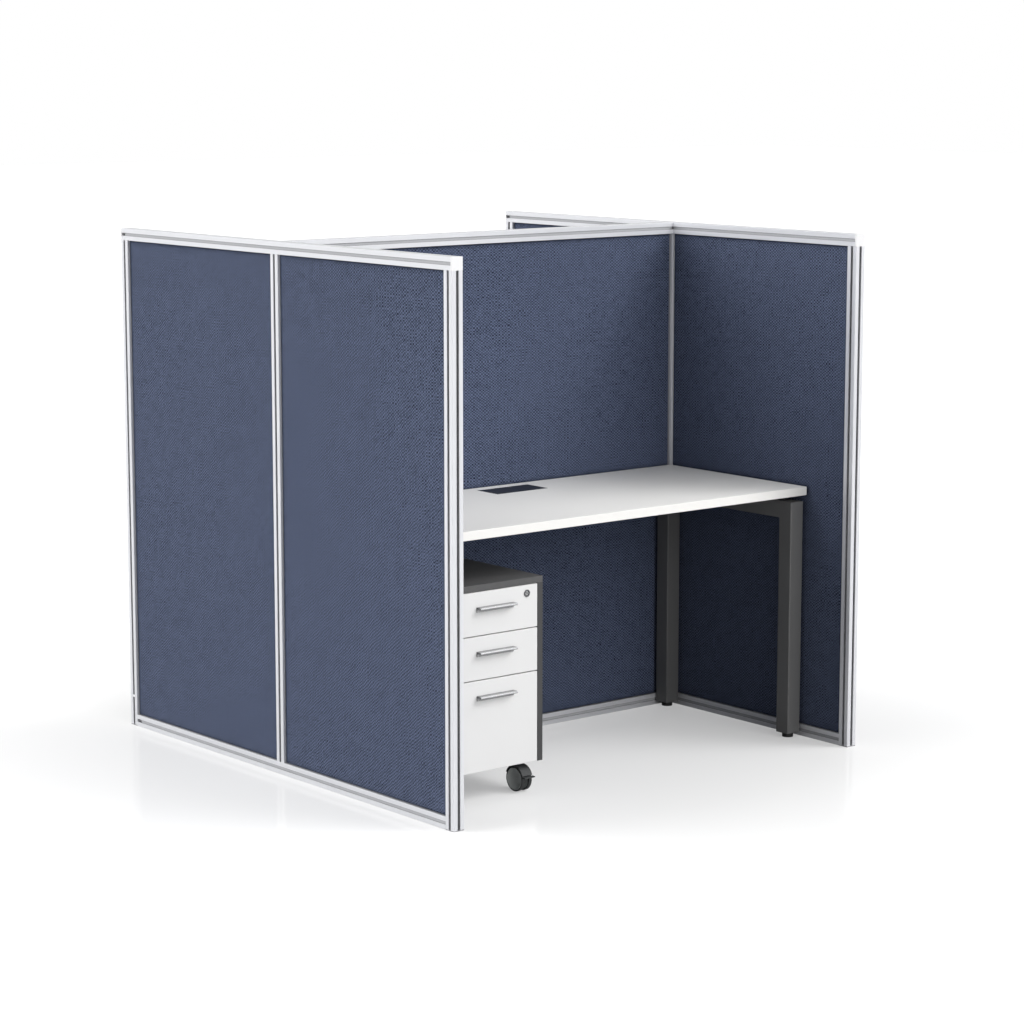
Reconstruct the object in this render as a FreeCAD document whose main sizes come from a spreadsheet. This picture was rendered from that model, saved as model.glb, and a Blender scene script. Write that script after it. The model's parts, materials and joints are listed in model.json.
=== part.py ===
import FreeCAD, Part
import operator
import os

import Sketcher
from FreeCAD import Placement, Rotation, Vector

# Cubicle workstation: two screen wings joined by a spine screen, with one desk on each side
# of the spine and a mobile pedestal under the near desk.
# Millimetres, +Z up. The origin is on the floor at the middle of the spine screen, +X runs
# along the spine to the right wing, and the near desk and the pedestal are on the -Y side.

SIZES = {
    # whole workstation
    "overall_width": 1500.0,
    "overall_height": 1500.0,
    "wing_length": 1585.0,
    # slotted extrusion of the posts and rails
    "profile": 35.0,
    "profile_corner": 1.0,
    "slot_mouth": 9.0,
    "slot_lip": 3.0,
    "slot_width": 13.0,
    "slot_depth": 9.5,
    "core_bore": 8.0,
    # screen pieces
    "panel_thickness": 20.0,
    "tongue_thickness": 8.0,
    "tongue_reach": 2.5,
    "stile_width": 6.0,
    "stile_depth": 20.0,
    "front_end_cap": 6.0,
    "rear_end_cap": 2.5,
    "base_cap": 2.0,
    "infill_clearance": 0.25,
    "infill_setback": 2.5,
    "infill_root": 1.5,
    "infill_root_width": 12.0,
    "infill_end_gap": 20.0,
    "dowel_clearance": 0.1,
    "dowel_depth": 30.0,
    # worktops
    "worktop_height": 752.0,
    "worktop_thickness": 25.0,
    "worktop_depth": 593.0,
    "worktop_rear_gap": 1.0,
    "worktop_side_gap": 1.5,
    "worktop_corner": 1.0,
    # cable port in each worktop
    "port_width": 190.0,
    "port_depth": 95.0,
    "port_offset": 12.0,
    "port_rear_margin": 38.0,
    "flange_overlap": 4.0,
    "flange_height": 1.5,
    "flange_corner": 2.0,
    "rebate_fit": 0.2,
    "sleeve_fit": 0.3,
    "sleeve_wall": 2.0,
    "flap_gap": 0.4,
    "flap_thickness": 2.5,
    "flap_corner": 0.4,
    "flap_axis_to_wall": 3.3,
    "flap_tail": 2.4,
    "flap_pin_radius": 0.9,
    "flap_pin_clearance": 0.05,
    "flap_pin_bite": 1.5,
    "flap_ledge": 4.0,
    "flap_ledge_length": 12.0,
    "flap_ledge_gap": 0.3,
    # leg frames and beams under the worktops
    "leg_tube": 50.0,
    "leg_wall": 2.0,
    "leg_corner": 3.0,
    "leg_side_gap": 10.0,
    "frame_setback": 5.0,
    "crossbeam_width": 60.0,
    "crossbeam_height": 40.0,
    "spacer_height": 18.0,
    "spacer_radius": 15.0,
    "spacer_inset": 60.0,
    "crossbeam_spacer_reach": 300.0,
    "screw_radius": 3.0,
    "screw_clearance": 0.1,
    "screw_bite": 15.0,
    "screw_head_radius": 5.5,
    "screw_head_height": 3.0,
    "screw_access_radius": 8.0,
    # levelling feet
    "foot_height": 14.0,
    "foot_disc_radius": 16.5,
    "foot_disc_height": 10.0,
    "foot_neck_radius": 8.0,
    "foot_plug_height": 18.0,
    "foot_plug_clearance": 0.2,
    # brackets that join the worktops to the middle posts
    "bracket_wall": 3.0,
    "bracket_length": 50.0,
    "bracket_drop": 37.0,
    "bracket_reach": 32.0,
    # pedestal case
    "pedestal_width": 336.0,
    "pedestal_depth": 520.0,
    "pedestal_headroom": 126.0,
    "pedestal_side_gap": 31.5,
    "pedestal_setback": 11.5,
    "caster_height": 84.0,
    "board": 18.0,
    "board_corner": 0.8,
    "back_board": 8.0,
    "base_setback": 2.0,
    # drawers
    "upper_front_height": 119.0,
    "front_gap": 3.0,
    "front_top_gap": 1.5,
    "front_side_gap": 1.5,
    "front_bottom_gap": 1.0,
    "box_wall": 1.5,
    "box_length": 450.0,
    "upper_box_lift": 12.0,
    "upper_box_height": 70.0,
    "upper_rail_rise": 35.0,
    "file_box_lift": 24.0,
    "file_box_top_gap": 23.5,
    "file_rail_rise": 60.0,
    # runners
    "runner_gap": 12.5,
    "channel_height": 36.0,
    "channel_wall": 1.5,
    "channel_reach": 9.5,
    "channel_length": 440.0,
    "channel_front_setback": 2.0,
    "rail_side_clearance": 1.0,
    "rail_clearance": 0.3,
    # drawer pulls
    "pull_length": 128.0,
    "pull_reach": 20.0,
    "pull_plate": 3.0,
    "pull_lip_radius": 3.3,
    "pull_flange_height": 14.0,
    "pull_drop": 41.0,
    "pull_screw_radius": 2.0,
    "pull_screw_clearance": 0.1,
    "pull_screw_spacing": 96.0,
    "pull_screw_head_radius": 4.0,
    "pull_screw_head": 2.5,
    # drawer lock
    "lock_radius": 8.0,
    "lock_clearance": 0.05,
    "lock_face_radius": 10.0,
    "lock_face": 2.0,
    "lock_face_gap": 0.3,
    "lock_offset": 111.5,
    "lock_drop": 24.5,
    "key_slot_width": 1.6,
    "key_slot_height": 8.0,
    "key_slot_depth": 1.2,
    "cam_reach": 21.0,
    "cam_height": 10.0,
    "cam_thickness": 2.5,
    "cam_gap": 3.5,
    "strike_width": 30.0,
    "strike_wall": 1.5,
    "strike_drop": 11.0,
    "strike_reach": 20.0,
    "strike_clearance": 0.5,
    # casters
    "caster_inset": 56.0,
    "caster_trail": 22.0,
    "wheel_radius": 35.0,
    "wheel_width": 11.5,
    "wheel_gap": 0.5,
    "tyre_edge": 2.0,
    "tyre_band": 4.0,
    "dish_depth": 7.0,
    "dish_floor_radius": 13.0,
    "axle_radius": 3.0,
    "running_clearance": 0.05,
    "web_width": 12.0,
    "web_rise": 4.0,
    "web_boss_radius": 12.0,
    "hood_clearance": 1.0,
    "hood_wall": 2.5,
    "hood_inset": 0.5,
    "hood_rise": 13.5,
    "stem_radius": 4.0,
    "stem_length": 26.0,
    "stem_boss_radius": 10.0,
    "stem_boss_gap": 1.6,
    "stem_web_depth": 20.0,
    "plate_side": 40.0,
    "plate_thickness": 2.5,
    "plate_gap": 1.0,
    # brake pedals of the front casters
    "brake_axis_back": 24.0,
    "brake_axis_rise": 10.0,
    "brake_pin_radius": 1.5,
    "brake_pin_bite": 2.0,
    "brake_arm": 5.0,
    "brake_arm_clearance": 0.3,
    "brake_thickness": 3.0,
    "brake_boss_radius": 3.0,
    "brake_paddle_width": 36.0,
    "brake_paddle_start": 36.6,
    "brake_paddle_reach": 48.0,
    "brake_room_start": 33.0,
    # every cut runs past the solid by this much
    "overrun": 1.0,
}

OPERATIONS = {"+": operator.add, "-": operator.sub, "*": operator.mul, "/": operator.truediv}


class Size:
    """A length, kept as a formula on the sheet of sizes and as its number."""

    def __init__(self, formula, number):
        self.formula = formula
        self.number = number

    def joined(self, sign, other, swapped=False):
        first, second = (as_size(other), self) if swapped else (self, as_size(other))
        number = OPERATIONS[sign](first.number, second.number)
        return Size(f"({first.formula} {sign} {second.formula})", number)

    def __add__(self, other):
        return self.joined("+", other)

    def __radd__(self, other):
        return self.joined("+", other, swapped=True)

    def __sub__(self, other):
        return self.joined("-", other)

    def __rsub__(self, other):
        return self.joined("-", other, swapped=True)

    def __mul__(self, other):
        return self.joined("*", other)

    def __rmul__(self, other):
        return self.joined("*", other, swapped=True)

    def __truediv__(self, other):
        return self.joined("/", other)

    def __neg__(self):
        return 0 - self


def as_size(value):
    return value if isinstance(value, Size) else Size(str(value), value)


class Sheet:
    """The sheet of sizes; each size is read as an attribute by its name."""

    def __init__(self, document, sizes):
        cells = document.addObject("Spreadsheet::Sheet", "Sizes")
        for row, (name, number) in enumerate(sizes.items(), start=1):
            cells.set(f"A{row}", name)
            cells.set(f"B{row}", str(number))
            cells.setAlias(f"B{row}", name)
            setattr(self, name, Size(f"Sizes.{name}", number))


doc = FreeCAD.newDocument("cubicle_workstation")
size = Sheet(doc, SIZES)
doc.recompute()
nodes = []


def node(piece, name):
    """Keep a finished sub-part under the name of its node."""
    piece.Label = name
    nodes.append(piece)
    return piece


# General helpers

def bind(piece, path, value):
    piece.setExpression(path, as_size(value).formula)


def place(piece, x=0, y=0, z=0):
    for letter, value in zip("xyz", (x, y, z)):
        bind(piece, "Placement.Base." + letter, value)


def box(name, across, deep, tall):
    """A block between a low and a high place on each axis."""
    block = doc.addObject("Part::Box", name)
    for side, (low, high) in zip(("Length", "Width", "Height"), (across, deep, tall)):
        bind(block, side, as_size(high) - low)
    place(block, across[0], deep[0], tall[0])
    return block


AXIS_TURNS = {
    "X": Rotation(Vector(0, 1, 0), 90),
    "Y": Rotation(Vector(1, 0, 0), -90),
    "Z": Rotation(),
}


def cylinder(name, axis, start, radius, length):
    """A round rod that runs from its start along +X, +Y or +Z."""
    rod = doc.addObject("Part::Cylinder", name)
    rod.Placement = Placement(Vector(), AXIS_TURNS[axis])
    bind(rod, "Radius", radius)
    bind(rod, "Height", length)
    place(rod, *start)
    return rod


def fuse(name, pieces):
    joined = doc.addObject("Part::MultiFuse", name)
    joined.Shapes = pieces
    joined.Refine = True
    return joined


def cut(name, base, tools):
    carved = doc.addObject("Part::Cut", name)
    carved.Base = base
    carved.Tool = tools[0] if len(tools) == 1 else fuse(name + "_cutters", tools)
    return carved


def group(name, pieces):
    """Several separate solids under one node."""
    together = doc.addObject("Part::Compound", name)
    together.Links = pieces
    return together


def turned(name, pieces, degrees):
    """The pieces turned about the workstation's vertical axis."""
    copy = group(name, pieces)
    copy.Placement = Placement(Vector(), Rotation(Vector(0, 0, 1), degrees))
    return copy


def both_ways(centre, half):
    return centre - half, centre + half


# Sketches and features of a body

def new_body(name):
    return doc.addObject("PartDesign::Body", name)


def new_sketch(body, name, plane, offset=0):
    sketch = body.newObject("Sketcher::SketchObject", name)
    base = next(item for item in body.Origin.OriginFeatures if item.Role == plane)
    sketch.AttachmentSupport = [(base, "")]
    sketch.MapMode = "FlatFace"
    bind(sketch, "AttachmentOffset.Base.z", offset)
    return sketch


def hold_point(sketch, geometry, point, place_xy):
    """Fix one point of a drawing at its distances from the sketch's origin."""
    for direction, value in zip(("DistanceX", "DistanceY"), place_xy):
        value = as_size(value)
        number = sketch.addConstraint(Sketcher.Constraint(direction, -1, 1, geometry, point, value.number))
        sketch.setExpression(f"Constraints[{number}]", value.formula)


def draw_outline(sketch, points):
    """A closed outline of straight lines."""
    points = [(as_size(x), as_size(y)) for x, y in points]
    corners = [Vector(x.number, y.number) for x, y in points]
    following = corners[1:] + corners[:1]
    first = sketch.GeometryCount
    sketch.addGeometry([Part.LineSegment(a, b) for a, b in zip(corners, following)], False)
    count = len(points)
    for index in range(count):
        after = first + (index + 1) % count
        sketch.addConstraint(Sketcher.Constraint("Coincident", first + index, 2, after, 1))
    for index, point in enumerate(points):
        hold_point(sketch, first + index, 1, point)


def draw_rectangle(sketch, across, along):
    draw_outline(sketch, [(across[0], along[0]), (across[1], along[0]),
                          (across[1], along[1]), (across[0], along[1])])


def draw_circle(sketch, centre, radius):
    x, y = as_size(centre[0]), as_size(centre[1])
    circle = Part.Circle(Vector(x.number, y.number), Vector(0, 0, 1), radius.number)
    index = sketch.addGeometry(circle, False)
    hold_point(sketch, index, 3, centre)
    number = sketch.addConstraint(Sketcher.Constraint("Radius", index, radius.number))
    sketch.setExpression(f"Constraints[{number}]", radius.formula)


def pad(body, sketch, length, name="pad", against_normal=False):
    feature = body.newObject("PartDesign::Pad", name)
    feature.Profile = sketch
    feature.Reversed = against_normal
    bind(feature, "Length", length)
    return feature


def pocket(body, sketch, length, name="pocket", along_normal=False):
    """A recess; it goes against the sketch's normal unless it is told otherwise."""
    doc.recompute()
    before = body.Shape.Volume
    feature = body.newObject("PartDesign::Pocket", name)
    feature.Profile = sketch
    feature.Reversed = along_normal
    bind(feature, "Length", length)
    doc.recompute()
    if body.Shape.Volume >= before:
        raise RuntimeError(f"{body.Name}: {name} cuts nothing")
    return feature


def edge_line(edge):
    """The two ends of a straight edge, or None for a round one."""
    if not isinstance(edge.Curve, Part.Line):
        return None
    return edge.Vertexes[0].Point, edge.Vertexes[1].Point


def round_edges(body, base, radius, wanted):
    """Round the straight edges of a feature whose ends pass the test."""
    doc.recompute()
    names = []
    for number, edge in enumerate(base.Shape.Edges, start=1):
        ends = edge_line(edge)
        if ends and wanted(*ends):
            names.append(f"Edge{number}")
    feature = body.newObject("PartDesign::Fillet", "rounded_edges")
    feature.Base = (base, names)
    bind(feature, "Radius", radius)
    return feature


def same(first, second):
    return abs(first - second) < SIZES["overrun"] / 1000


def runs_along(axis):
    """A test for the edges that run along one axis."""
    others = [index for index in range(3) if index != axis]
    return lambda a, b: all(same(a[index], b[index]) for index in others)


def any_edge(a, b):
    return True


def board(name, across, deep, tall, radius, wanted=any_edge):
    """A flat board with its edges eased."""
    body = new_body(name)
    sketch = new_sketch(body, "face", "XY_Plane", tall[0])
    draw_rectangle(sketch, across, deep)
    slab = pad(body, sketch, as_size(tall[1]) - tall[0])
    round_edges(body, slab, radius, wanted)
    return body


# Places that several pieces share

half_profile = size.profile / 2
wing_inner = size.overall_width / 2 - size.profile
wing_middle = size.overall_width / 2 - half_profile
wing_end = size.wing_length / 2
rail_bottom = size.overall_height - size.profile
between_posts = wing_end - size.profile
post_bays = ((-between_posts, -half_profile), (half_profile, between_posts))
stile_inner = wing_inner - size.stile_width

worktop_rear = -(half_profile + size.worktop_rear_gap)
worktop_front = worktop_rear - size.worktop_depth
worktop_half = wing_inner - size.worktop_side_gap
worktop_bottom = size.worktop_height - size.worktop_thickness
frame_top = worktop_bottom - size.spacer_height
frame_outer = wing_inner - size.leg_side_gap
frame_inner = frame_outer - size.leg_tube
frame_middle = frame_outer - size.leg_tube / 2
frame_front = worktop_front + size.frame_setback
frame_rear = worktop_rear - size.frame_setback
crossbeam_middle = (frame_front + frame_rear) / 2

case_front = worktop_front + size.pedestal_setback
case_rear = case_front + size.pedestal_depth
case_bottom = size.caster_height
case_top = worktop_bottom - size.pedestal_headroom
case_half = size.pedestal_width / 2
case_middle = case_half + size.pedestal_side_gap - frame_inner
case_inner_half = case_half - size.board
opening_top = case_top - size.board
front_back = case_front + size.board

SIDES = {"left": -1, "right": 1}
DESKS = {"near": 0, "far": 180}


# Screens

def profile_outline(slotted_faces):
    """Section of the extrusion. Faces are numbered from +X in quarter turns to the left."""
    mouth, width = size.slot_mouth / 2, size.slot_width / 2
    lip, floor = half_profile - size.slot_lip, half_profile - size.slot_depth
    slot = [(half_profile, -mouth), (lip, -mouth), (lip, -width), (floor, -width),
            (floor, width), (lip, width), (lip, mouth), (half_profile, mouth)]
    points = []
    for face in range(4):
        side = [(half_profile, -half_profile)] + (slot if face in slotted_faces else [])
        for x, y in side:
            for _ in range(face):
                x, y = -y, x
            points.append((x, y))
    return points


def extrusion(name, plane, start, length, slotted_faces):
    """A length of the extrusion, with its middle on the body's origin."""
    body = new_body(name)
    sketch = new_sketch(body, "section", plane, start)
    draw_outline(sketch, profile_outline(slotted_faces))
    draw_circle(sketch, (0, 0), size.core_bore / 2)
    bar = pad(body, sketch, length)
    axis = {"YZ_Plane": 0, "XZ_Plane": 1, "XY_Plane": 2}[plane]
    others = [index for index in range(3) if index != axis]
    reach = SIZES["profile"] / 2

    def is_corner(a, b):
        return runs_along(axis)(a, b) and all(same(abs(a[index]), reach) for index in others)

    round_edges(body, bar, size.profile_corner, is_corner)
    return body


ALL_FACES = (0, 1, 2, 3)
# on an upright section, face 1 looks up and face 3 looks down
PLAIN_ABOVE = (0, 2, 3)
PLAIN_BELOW = (0, 1, 2)


def infill_strip(name, axis, side_place, side, height, low, high):
    """The recessed strip in a rail's side slot: a low cover in the mouth and a root behind the lips."""
    outer = side_place - side * size.infill_setback
    cover = side_place - side * size.slot_lip
    root = side_place - side * (size.slot_lip + size.infill_root)
    half_mouth = size.slot_mouth / 2 - size.infill_clearance
    half_root = size.infill_root_width / 2

    def part(label, first, last, half):
        through = (first, last) if side < 0 else (last, first)
        up = both_ways(height, half)
        if axis == "Y":
            return box(label, through, (low, high), up)
        return box(label, (low, high), through, up)

    pieces = [part(name + "_cover", outer, cover, half_mouth), part(name + "_root", cover, root, half_root)]
    return fuse(name, pieces)


def screen_panel(name, axis, middle, span, rise):
    """A fabric-wrapped board between the frame pieces, with a tongue in their slots."""
    reach = size.tongue_reach
    shapes = []
    for label, half, extra in (("_board", size.panel_thickness / 2, 0),
                               ("_tongue", size.tongue_thickness / 2, reach)):
        along = (span[0] - extra, span[1] + extra)
        up = (rise[0] - reach, rise[1] + reach) if label == "_tongue" else rise
        if axis == "X" and label == "_tongue":
            along = span
        across = both_ways(middle, half)
        if axis == "Y":
            shapes.append(box(name + label, across, along, up))
        else:
            shapes.append(box(name + label, along, across, up))
    return fuse(name, shapes)


def wing(side_name):
    side = SIDES[side_name]
    middle = side * wing_middle
    stations = {"front": -(wing_end - half_profile), "middle": 0, "rear": wing_end - half_profile}
    for station, y in stations.items():
        name = f"{side_name}_{station}_post"
        foot = size.profile if station == "middle" else size.base_cap
        post = extrusion(name, "XY_Plane", foot, rail_bottom - foot, ALL_FACES)
        place(post, middle, y)
        node(post, name)

    name = side_name + "_top_rail"
    rear = wing_end - size.rear_end_cap
    length = size.wing_length - size.front_end_cap - size.rear_end_cap
    top_rail = extrusion(name, "XZ_Plane", -rear, length, PLAIN_ABOVE)
    place(top_rail, middle, 0, rail_bottom + half_profile)
    node(top_rail, name)

    for bay_name, bay in zip(("front", "rear"), post_bays):
        name = f"{side_name}_{bay_name}_panel"
        node(screen_panel(name, "Y", middle, bay, (size.profile, rail_bottom)), name)


def wing_bottom_rails():
    rails = []
    for side_name, side in SIDES.items():
        rail = extrusion(side_name + "_bottom_rail", "XZ_Plane", -between_posts, 2 * between_posts,
                         PLAIN_BELOW)
        place(rail, side * wing_middle, 0, half_profile)
        rails.append(rail)
    node(group("wing_bottom_rails", rails), "wing_bottom_rails")


def spine_screen():
    top_rail = extrusion("centre_top_rail", "YZ_Plane", -wing_inner, 2 * wing_inner, PLAIN_ABOVE)
    place(top_rail, 0, 0, rail_bottom + half_profile)
    node(top_rail, "centre_top_rail")

    bottom_rail = extrusion("centre_bottom_rail", "YZ_Plane", -stile_inner, 2 * stile_inner, PLAIN_BELOW)
    place(bottom_rail, 0, 0, half_profile)
    node(bottom_rail, "centre_bottom_rail")

    span = (-stile_inner, stile_inner)
    node(screen_panel("centre_panel", "X", as_size(0), span, (size.profile, rail_bottom)), "centre_panel")

    deep = both_ways(as_size(0), size.stile_depth / 2)
    stiles = [board("left_stile", (-wing_inner, -stile_inner), deep, (0, rail_bottom), size.board_corner,
                    runs_along(2)),
              board("right_stile", (stile_inner, wing_inner), deep, (0, rail_bottom), size.board_corner,
                    runs_along(2))]
    node(group("centre_end_stiles", stiles), "centre_end_stiles")


def infill_strips():
    strips = []
    top_height = rail_bottom + half_profile
    for side_name, side in SIDES.items():
        for face in (-1, 1):
            surface = side * wing_middle + face * half_profile
            name = f"{side_name}_infill_{'out' if face == side else 'in'}"
            strips.append(infill_strip(name + "_top", "Y", surface, face, top_height,
                                       -wing_end + size.front_end_cap, wing_end - size.infill_end_gap))
            strips.append(infill_strip(name + "_bottom", "Y", surface, face, half_profile,
                                       -between_posts, between_posts - size.infill_end_gap))
    for face_name, face in (("near", -1), ("far", 1)):
        surface = face * half_profile
        strips.append(infill_strip(f"spine_infill_{face_name}_top", "X", surface, face, top_height,
                                   -wing_inner, wing_inner))
        strips.append(infill_strip(f"spine_infill_{face_name}_bottom", "X", surface, face, half_profile,
                                   -stile_inner, stile_inner))
    node(group("rail_infill_strips", strips), "rail_infill_strips")


def screen_trim():
    """End caps of the top rails, pads under the outer posts and the dowels that hold the rails."""
    caps, pads, dowels = [], [], []
    for side_name, side in SIDES.items():
        across = both_ways(side * wing_middle, half_profile)
        for end_name, end, thickness in (("front", -1, size.front_end_cap), ("rear", 1, size.rear_end_cap)):
            ends = (end * wing_end, end * (wing_end - thickness))
            deep = ends if end < 0 else ends[::-1]
            cap = board(f"{side_name}_{end_name}_end_cap", across, deep, (rail_bottom, size.overall_height),
                        size.profile_corner, runs_along(1))
            caps.append(cap)
        for station_name, y in (("front", -(wing_end - half_profile)), ("middle", as_size(0)),
                                ("rear", wing_end - half_profile)):
            name = f"{side_name}_{station_name}"
            if station_name != "middle":
                pads.append(board(name + "_base_cap", across, both_ways(y, half_profile),
                                  (0, size.base_cap), size.profile_corner, runs_along(2)))
            start = (side * wing_middle, y, rail_bottom - size.dowel_depth)
            dowels.append(cylinder(name + "_dowel", "Z", start, size.core_bore / 2 - size.dowel_clearance,
                                   size.dowel_depth + size.slot_depth))
    node(group("rail_end_caps", caps), "rail_end_caps")
    node(group("post_base_caps", pads), "post_base_caps")
    node(group("post_top_dowels", dowels), "post_top_dowels")


# Desks. Each is drawn on the near side and turned into its place.

port_middle_x = size.port_offset
port_rear = worktop_rear - size.port_rear_margin
port_middle_y = port_rear - size.port_depth / 2
cutout_half_x = size.port_width / 2 - size.flange_overlap
cutout_half_y = size.port_depth / 2 - size.flange_overlap
sleeve_half_x = cutout_half_x - size.sleeve_fit
sleeve_half_y = cutout_half_y - size.sleeve_fit
port_half_x = sleeve_half_x - size.sleeve_wall
port_half_y = sleeve_half_y - size.sleeve_wall
flange_bottom = size.worktop_height - size.flange_height
flap_top = size.worktop_height
flap_bottom = flap_top - size.flap_thickness
flap_axis_y = port_middle_y + port_half_y - size.flap_axis_to_wall
flap_axis_z = flap_top - size.flap_thickness / 2


def screw_places():
    """The six places where a worktop is screwed down through its spacers."""
    places = []
    ends = {"front": frame_front + size.spacer_inset, "rear": frame_rear - size.spacer_inset}
    for side_name, side in SIDES.items():
        for end_name, y in ends.items():
            places.append((f"{side_name}_{end_name}", side * frame_middle, y))
        places.append((f"{side_name}_beam", side * size.crossbeam_spacer_reach, crossbeam_middle))
    return places


def worktop(desk_name):
    name = desk_name + "_worktop"
    top = board(name, (-worktop_half, worktop_half), (worktop_front, worktop_rear),
                (worktop_bottom, size.worktop_height), size.worktop_corner)
    above = size.worktop_height + size.overrun
    rebate = new_sketch(top, "port_rebate", "XY_Plane", above)
    draw_rectangle(rebate, both_ways(port_middle_x, size.port_width / 2 + size.rebate_fit),
                   both_ways(port_middle_y, size.port_depth / 2 + size.rebate_fit))
    pocket(top, rebate, size.flange_height + size.overrun, "rebate")
    port = new_sketch(top, "port_cutout", "XY_Plane", above)
    draw_rectangle(port, both_ways(port_middle_x, cutout_half_x), both_ways(port_middle_y, cutout_half_y))
    pocket(top, port, size.worktop_thickness + 2 * size.overrun, "port")
    holes = new_sketch(top, "screw_holes", "XY_Plane", worktop_bottom)
    for _, x, y in screw_places():
        draw_circle(holes, (x, y), size.screw_radius + size.screw_clearance)
    pocket(top, holes, size.screw_bite + size.screw_clearance, "screw_pilots", along_normal=True)
    top.Placement = Placement(Vector(), Rotation(Vector(0, 0, 1), DESKS[desk_name]))
    node(top, name)


def leg_frame(name, low_x):
    """Two legs and the top beam, one welded frame of hollow square tube, open at the leg ends."""
    tube, wall = size.leg_tube, size.leg_wall
    inner_front, inner_rear = frame_front + tube, frame_rear - tube
    body = new_body(name)
    outside = new_sketch(body, "outside", "YZ_Plane", low_x)
    draw_outline(outside, [(frame_front, size.foot_height), (inner_front, size.foot_height),
                           (inner_front, frame_top - tube), (inner_rear, frame_top - tube),
                           (inner_rear, size.foot_height), (frame_rear, size.foot_height),
                           (frame_rear, frame_top), (frame_front, frame_top)])
    frame = pad(body, outside, tube)
    faces = (low_x.number, low_x.number + SIZES["leg_tube"])

    def on_side_face(a, b):
        return any(same(a.x, face) and same(b.x, face) for face in faces) and (
            not same(a.z, SIZES["foot_height"]) or not same(b.z, SIZES["foot_height"]))

    round_edges(body, frame, size.leg_corner, on_side_face)
    inside = new_sketch(body, "inside", "YZ_Plane", low_x + wall)
    below = size.foot_height - size.overrun
    draw_outline(inside, [(frame_front + wall, below), (inner_front - wall, below),
                          (inner_front - wall, frame_top - tube + wall),
                          (inner_rear + wall, frame_top - tube + wall), (inner_rear + wall, below),
                          (frame_rear - wall, below), (frame_rear - wall, frame_top - wall),
                          (frame_front + wall, frame_top - wall)])
    pocket(body, inside, tube - 2 * wall, "hollow", along_normal=True)
    return body


def screw_openings(name, x, y, height, wall):
    """Cutters for a screw through a tube's top wall and the access hole in its bottom wall."""
    top_hole = cylinder(name + "_hole", "Z", (x, y, frame_top - wall - size.overrun),
                        size.screw_radius + size.screw_clearance, wall + 2 * size.overrun)
    access = cylinder(name + "_access", "Z", (x, y, frame_top - height - size.overrun),
                      size.screw_access_radius, wall + 2 * size.overrun)
    return [top_hole, access]


def leg_frames(desk_name):
    frames = []
    for side_name, side in SIDES.items():
        low_x = -frame_outer if side < 0 else frame_inner
        frame = leg_frame(f"{desk_name}_{side_name}_leg_tubes", low_x)
        cutters = []
        for place_name, x, y in screw_places():
            if place_name in (side_name + "_front", side_name + "_rear"):
                cutters += screw_openings(f"{desk_name}_{place_name}", x, y, size.leg_tube, size.leg_wall)
        frames.append(cut(f"{desk_name}_{side_name}_leg_frame", frame, cutters))
    name = desk_name + "_leg_frames"
    node(turned(name, frames, DESKS[desk_name]), name)


def crossbeam(desk_name):
    """The tube between the two side beams of a desk, open at its ends."""
    wall = size.leg_wall
    deep = both_ways(crossbeam_middle, size.crossbeam_width / 2)
    tall = (frame_top - size.crossbeam_height, frame_top)
    outside = box(desk_name + "_beam_outside", (-frame_inner, frame_inner), deep, tall)
    inside = box(desk_name + "_beam_inside", (-frame_inner - size.overrun, frame_inner + size.overrun),
                 (deep[0] + wall, deep[1] - wall), (tall[0] + wall, tall[1] - wall))
    cutters = [inside]
    for place_name, x, y in screw_places():
        if place_name.endswith("_beam"):
            cutters += screw_openings(f"{desk_name}_{place_name}", x, y, size.crossbeam_height, wall)
    return cut(desk_name + "_crossbeam", outside, cutters)


def worktop_fixings(desk_name):
    """The spacers between a worktop and its frame, and the screws through them."""
    spacers, screws = [], []
    for place_name, x, y in screw_places():
        name = f"{desk_name}_{place_name}"
        disc = cylinder(name + "_disc", "Z", (x, y, frame_top), size.spacer_radius, size.spacer_height)
        hole = cylinder(name + "_disc_hole", "Z", (x, y, frame_top - size.overrun),
                        size.screw_radius + size.screw_clearance, size.spacer_height + 2 * size.overrun)
        spacers.append(cut(name + "_spacer", disc, [hole]))
        under_wall = frame_top - size.leg_wall
        head = cylinder(name + "_head", "Z", (x, y, under_wall - size.screw_head_height),
                        size.screw_head_radius, size.screw_head_height)
        shank = cylinder(name + "_shank", "Z", (x, y, under_wall), size.screw_radius,
                         size.leg_wall + size.spacer_height + size.screw_bite)
        screws.append(fuse(name + "_screw", [head, shank]))
    return spacers, screws


def levelling_foot(name, x, y):
    """A foot with its neck and the plug that fills the end of the leg tube."""
    plug_half = size.leg_tube / 2 - size.leg_wall - size.foot_plug_clearance
    disc = cylinder(name + "_disc", "Z", (x, y, 0), size.foot_disc_radius, size.foot_disc_height)
    neck = cylinder(name + "_neck", "Z", (x, y, size.foot_disc_height), size.foot_neck_radius,
                    size.foot_height - size.foot_disc_height + size.overrun)
    plug = box(name + "_plug", both_ways(x, plug_half), both_ways(y, plug_half),
               (size.foot_height, size.foot_height + size.foot_plug_height))
    return fuse(name, [disc, neck, plug])


def levelling_feet(desk_name):
    feet = []
    ends = {"front": frame_front + size.leg_tube / 2, "rear": frame_rear - size.leg_tube / 2}
    for side_name, side in SIDES.items():
        for end_name, y in ends.items():
            name = f"{desk_name}_{side_name}_{end_name}_foot"
            feet.append(levelling_foot(name, side * frame_middle, y))
    return feet


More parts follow.
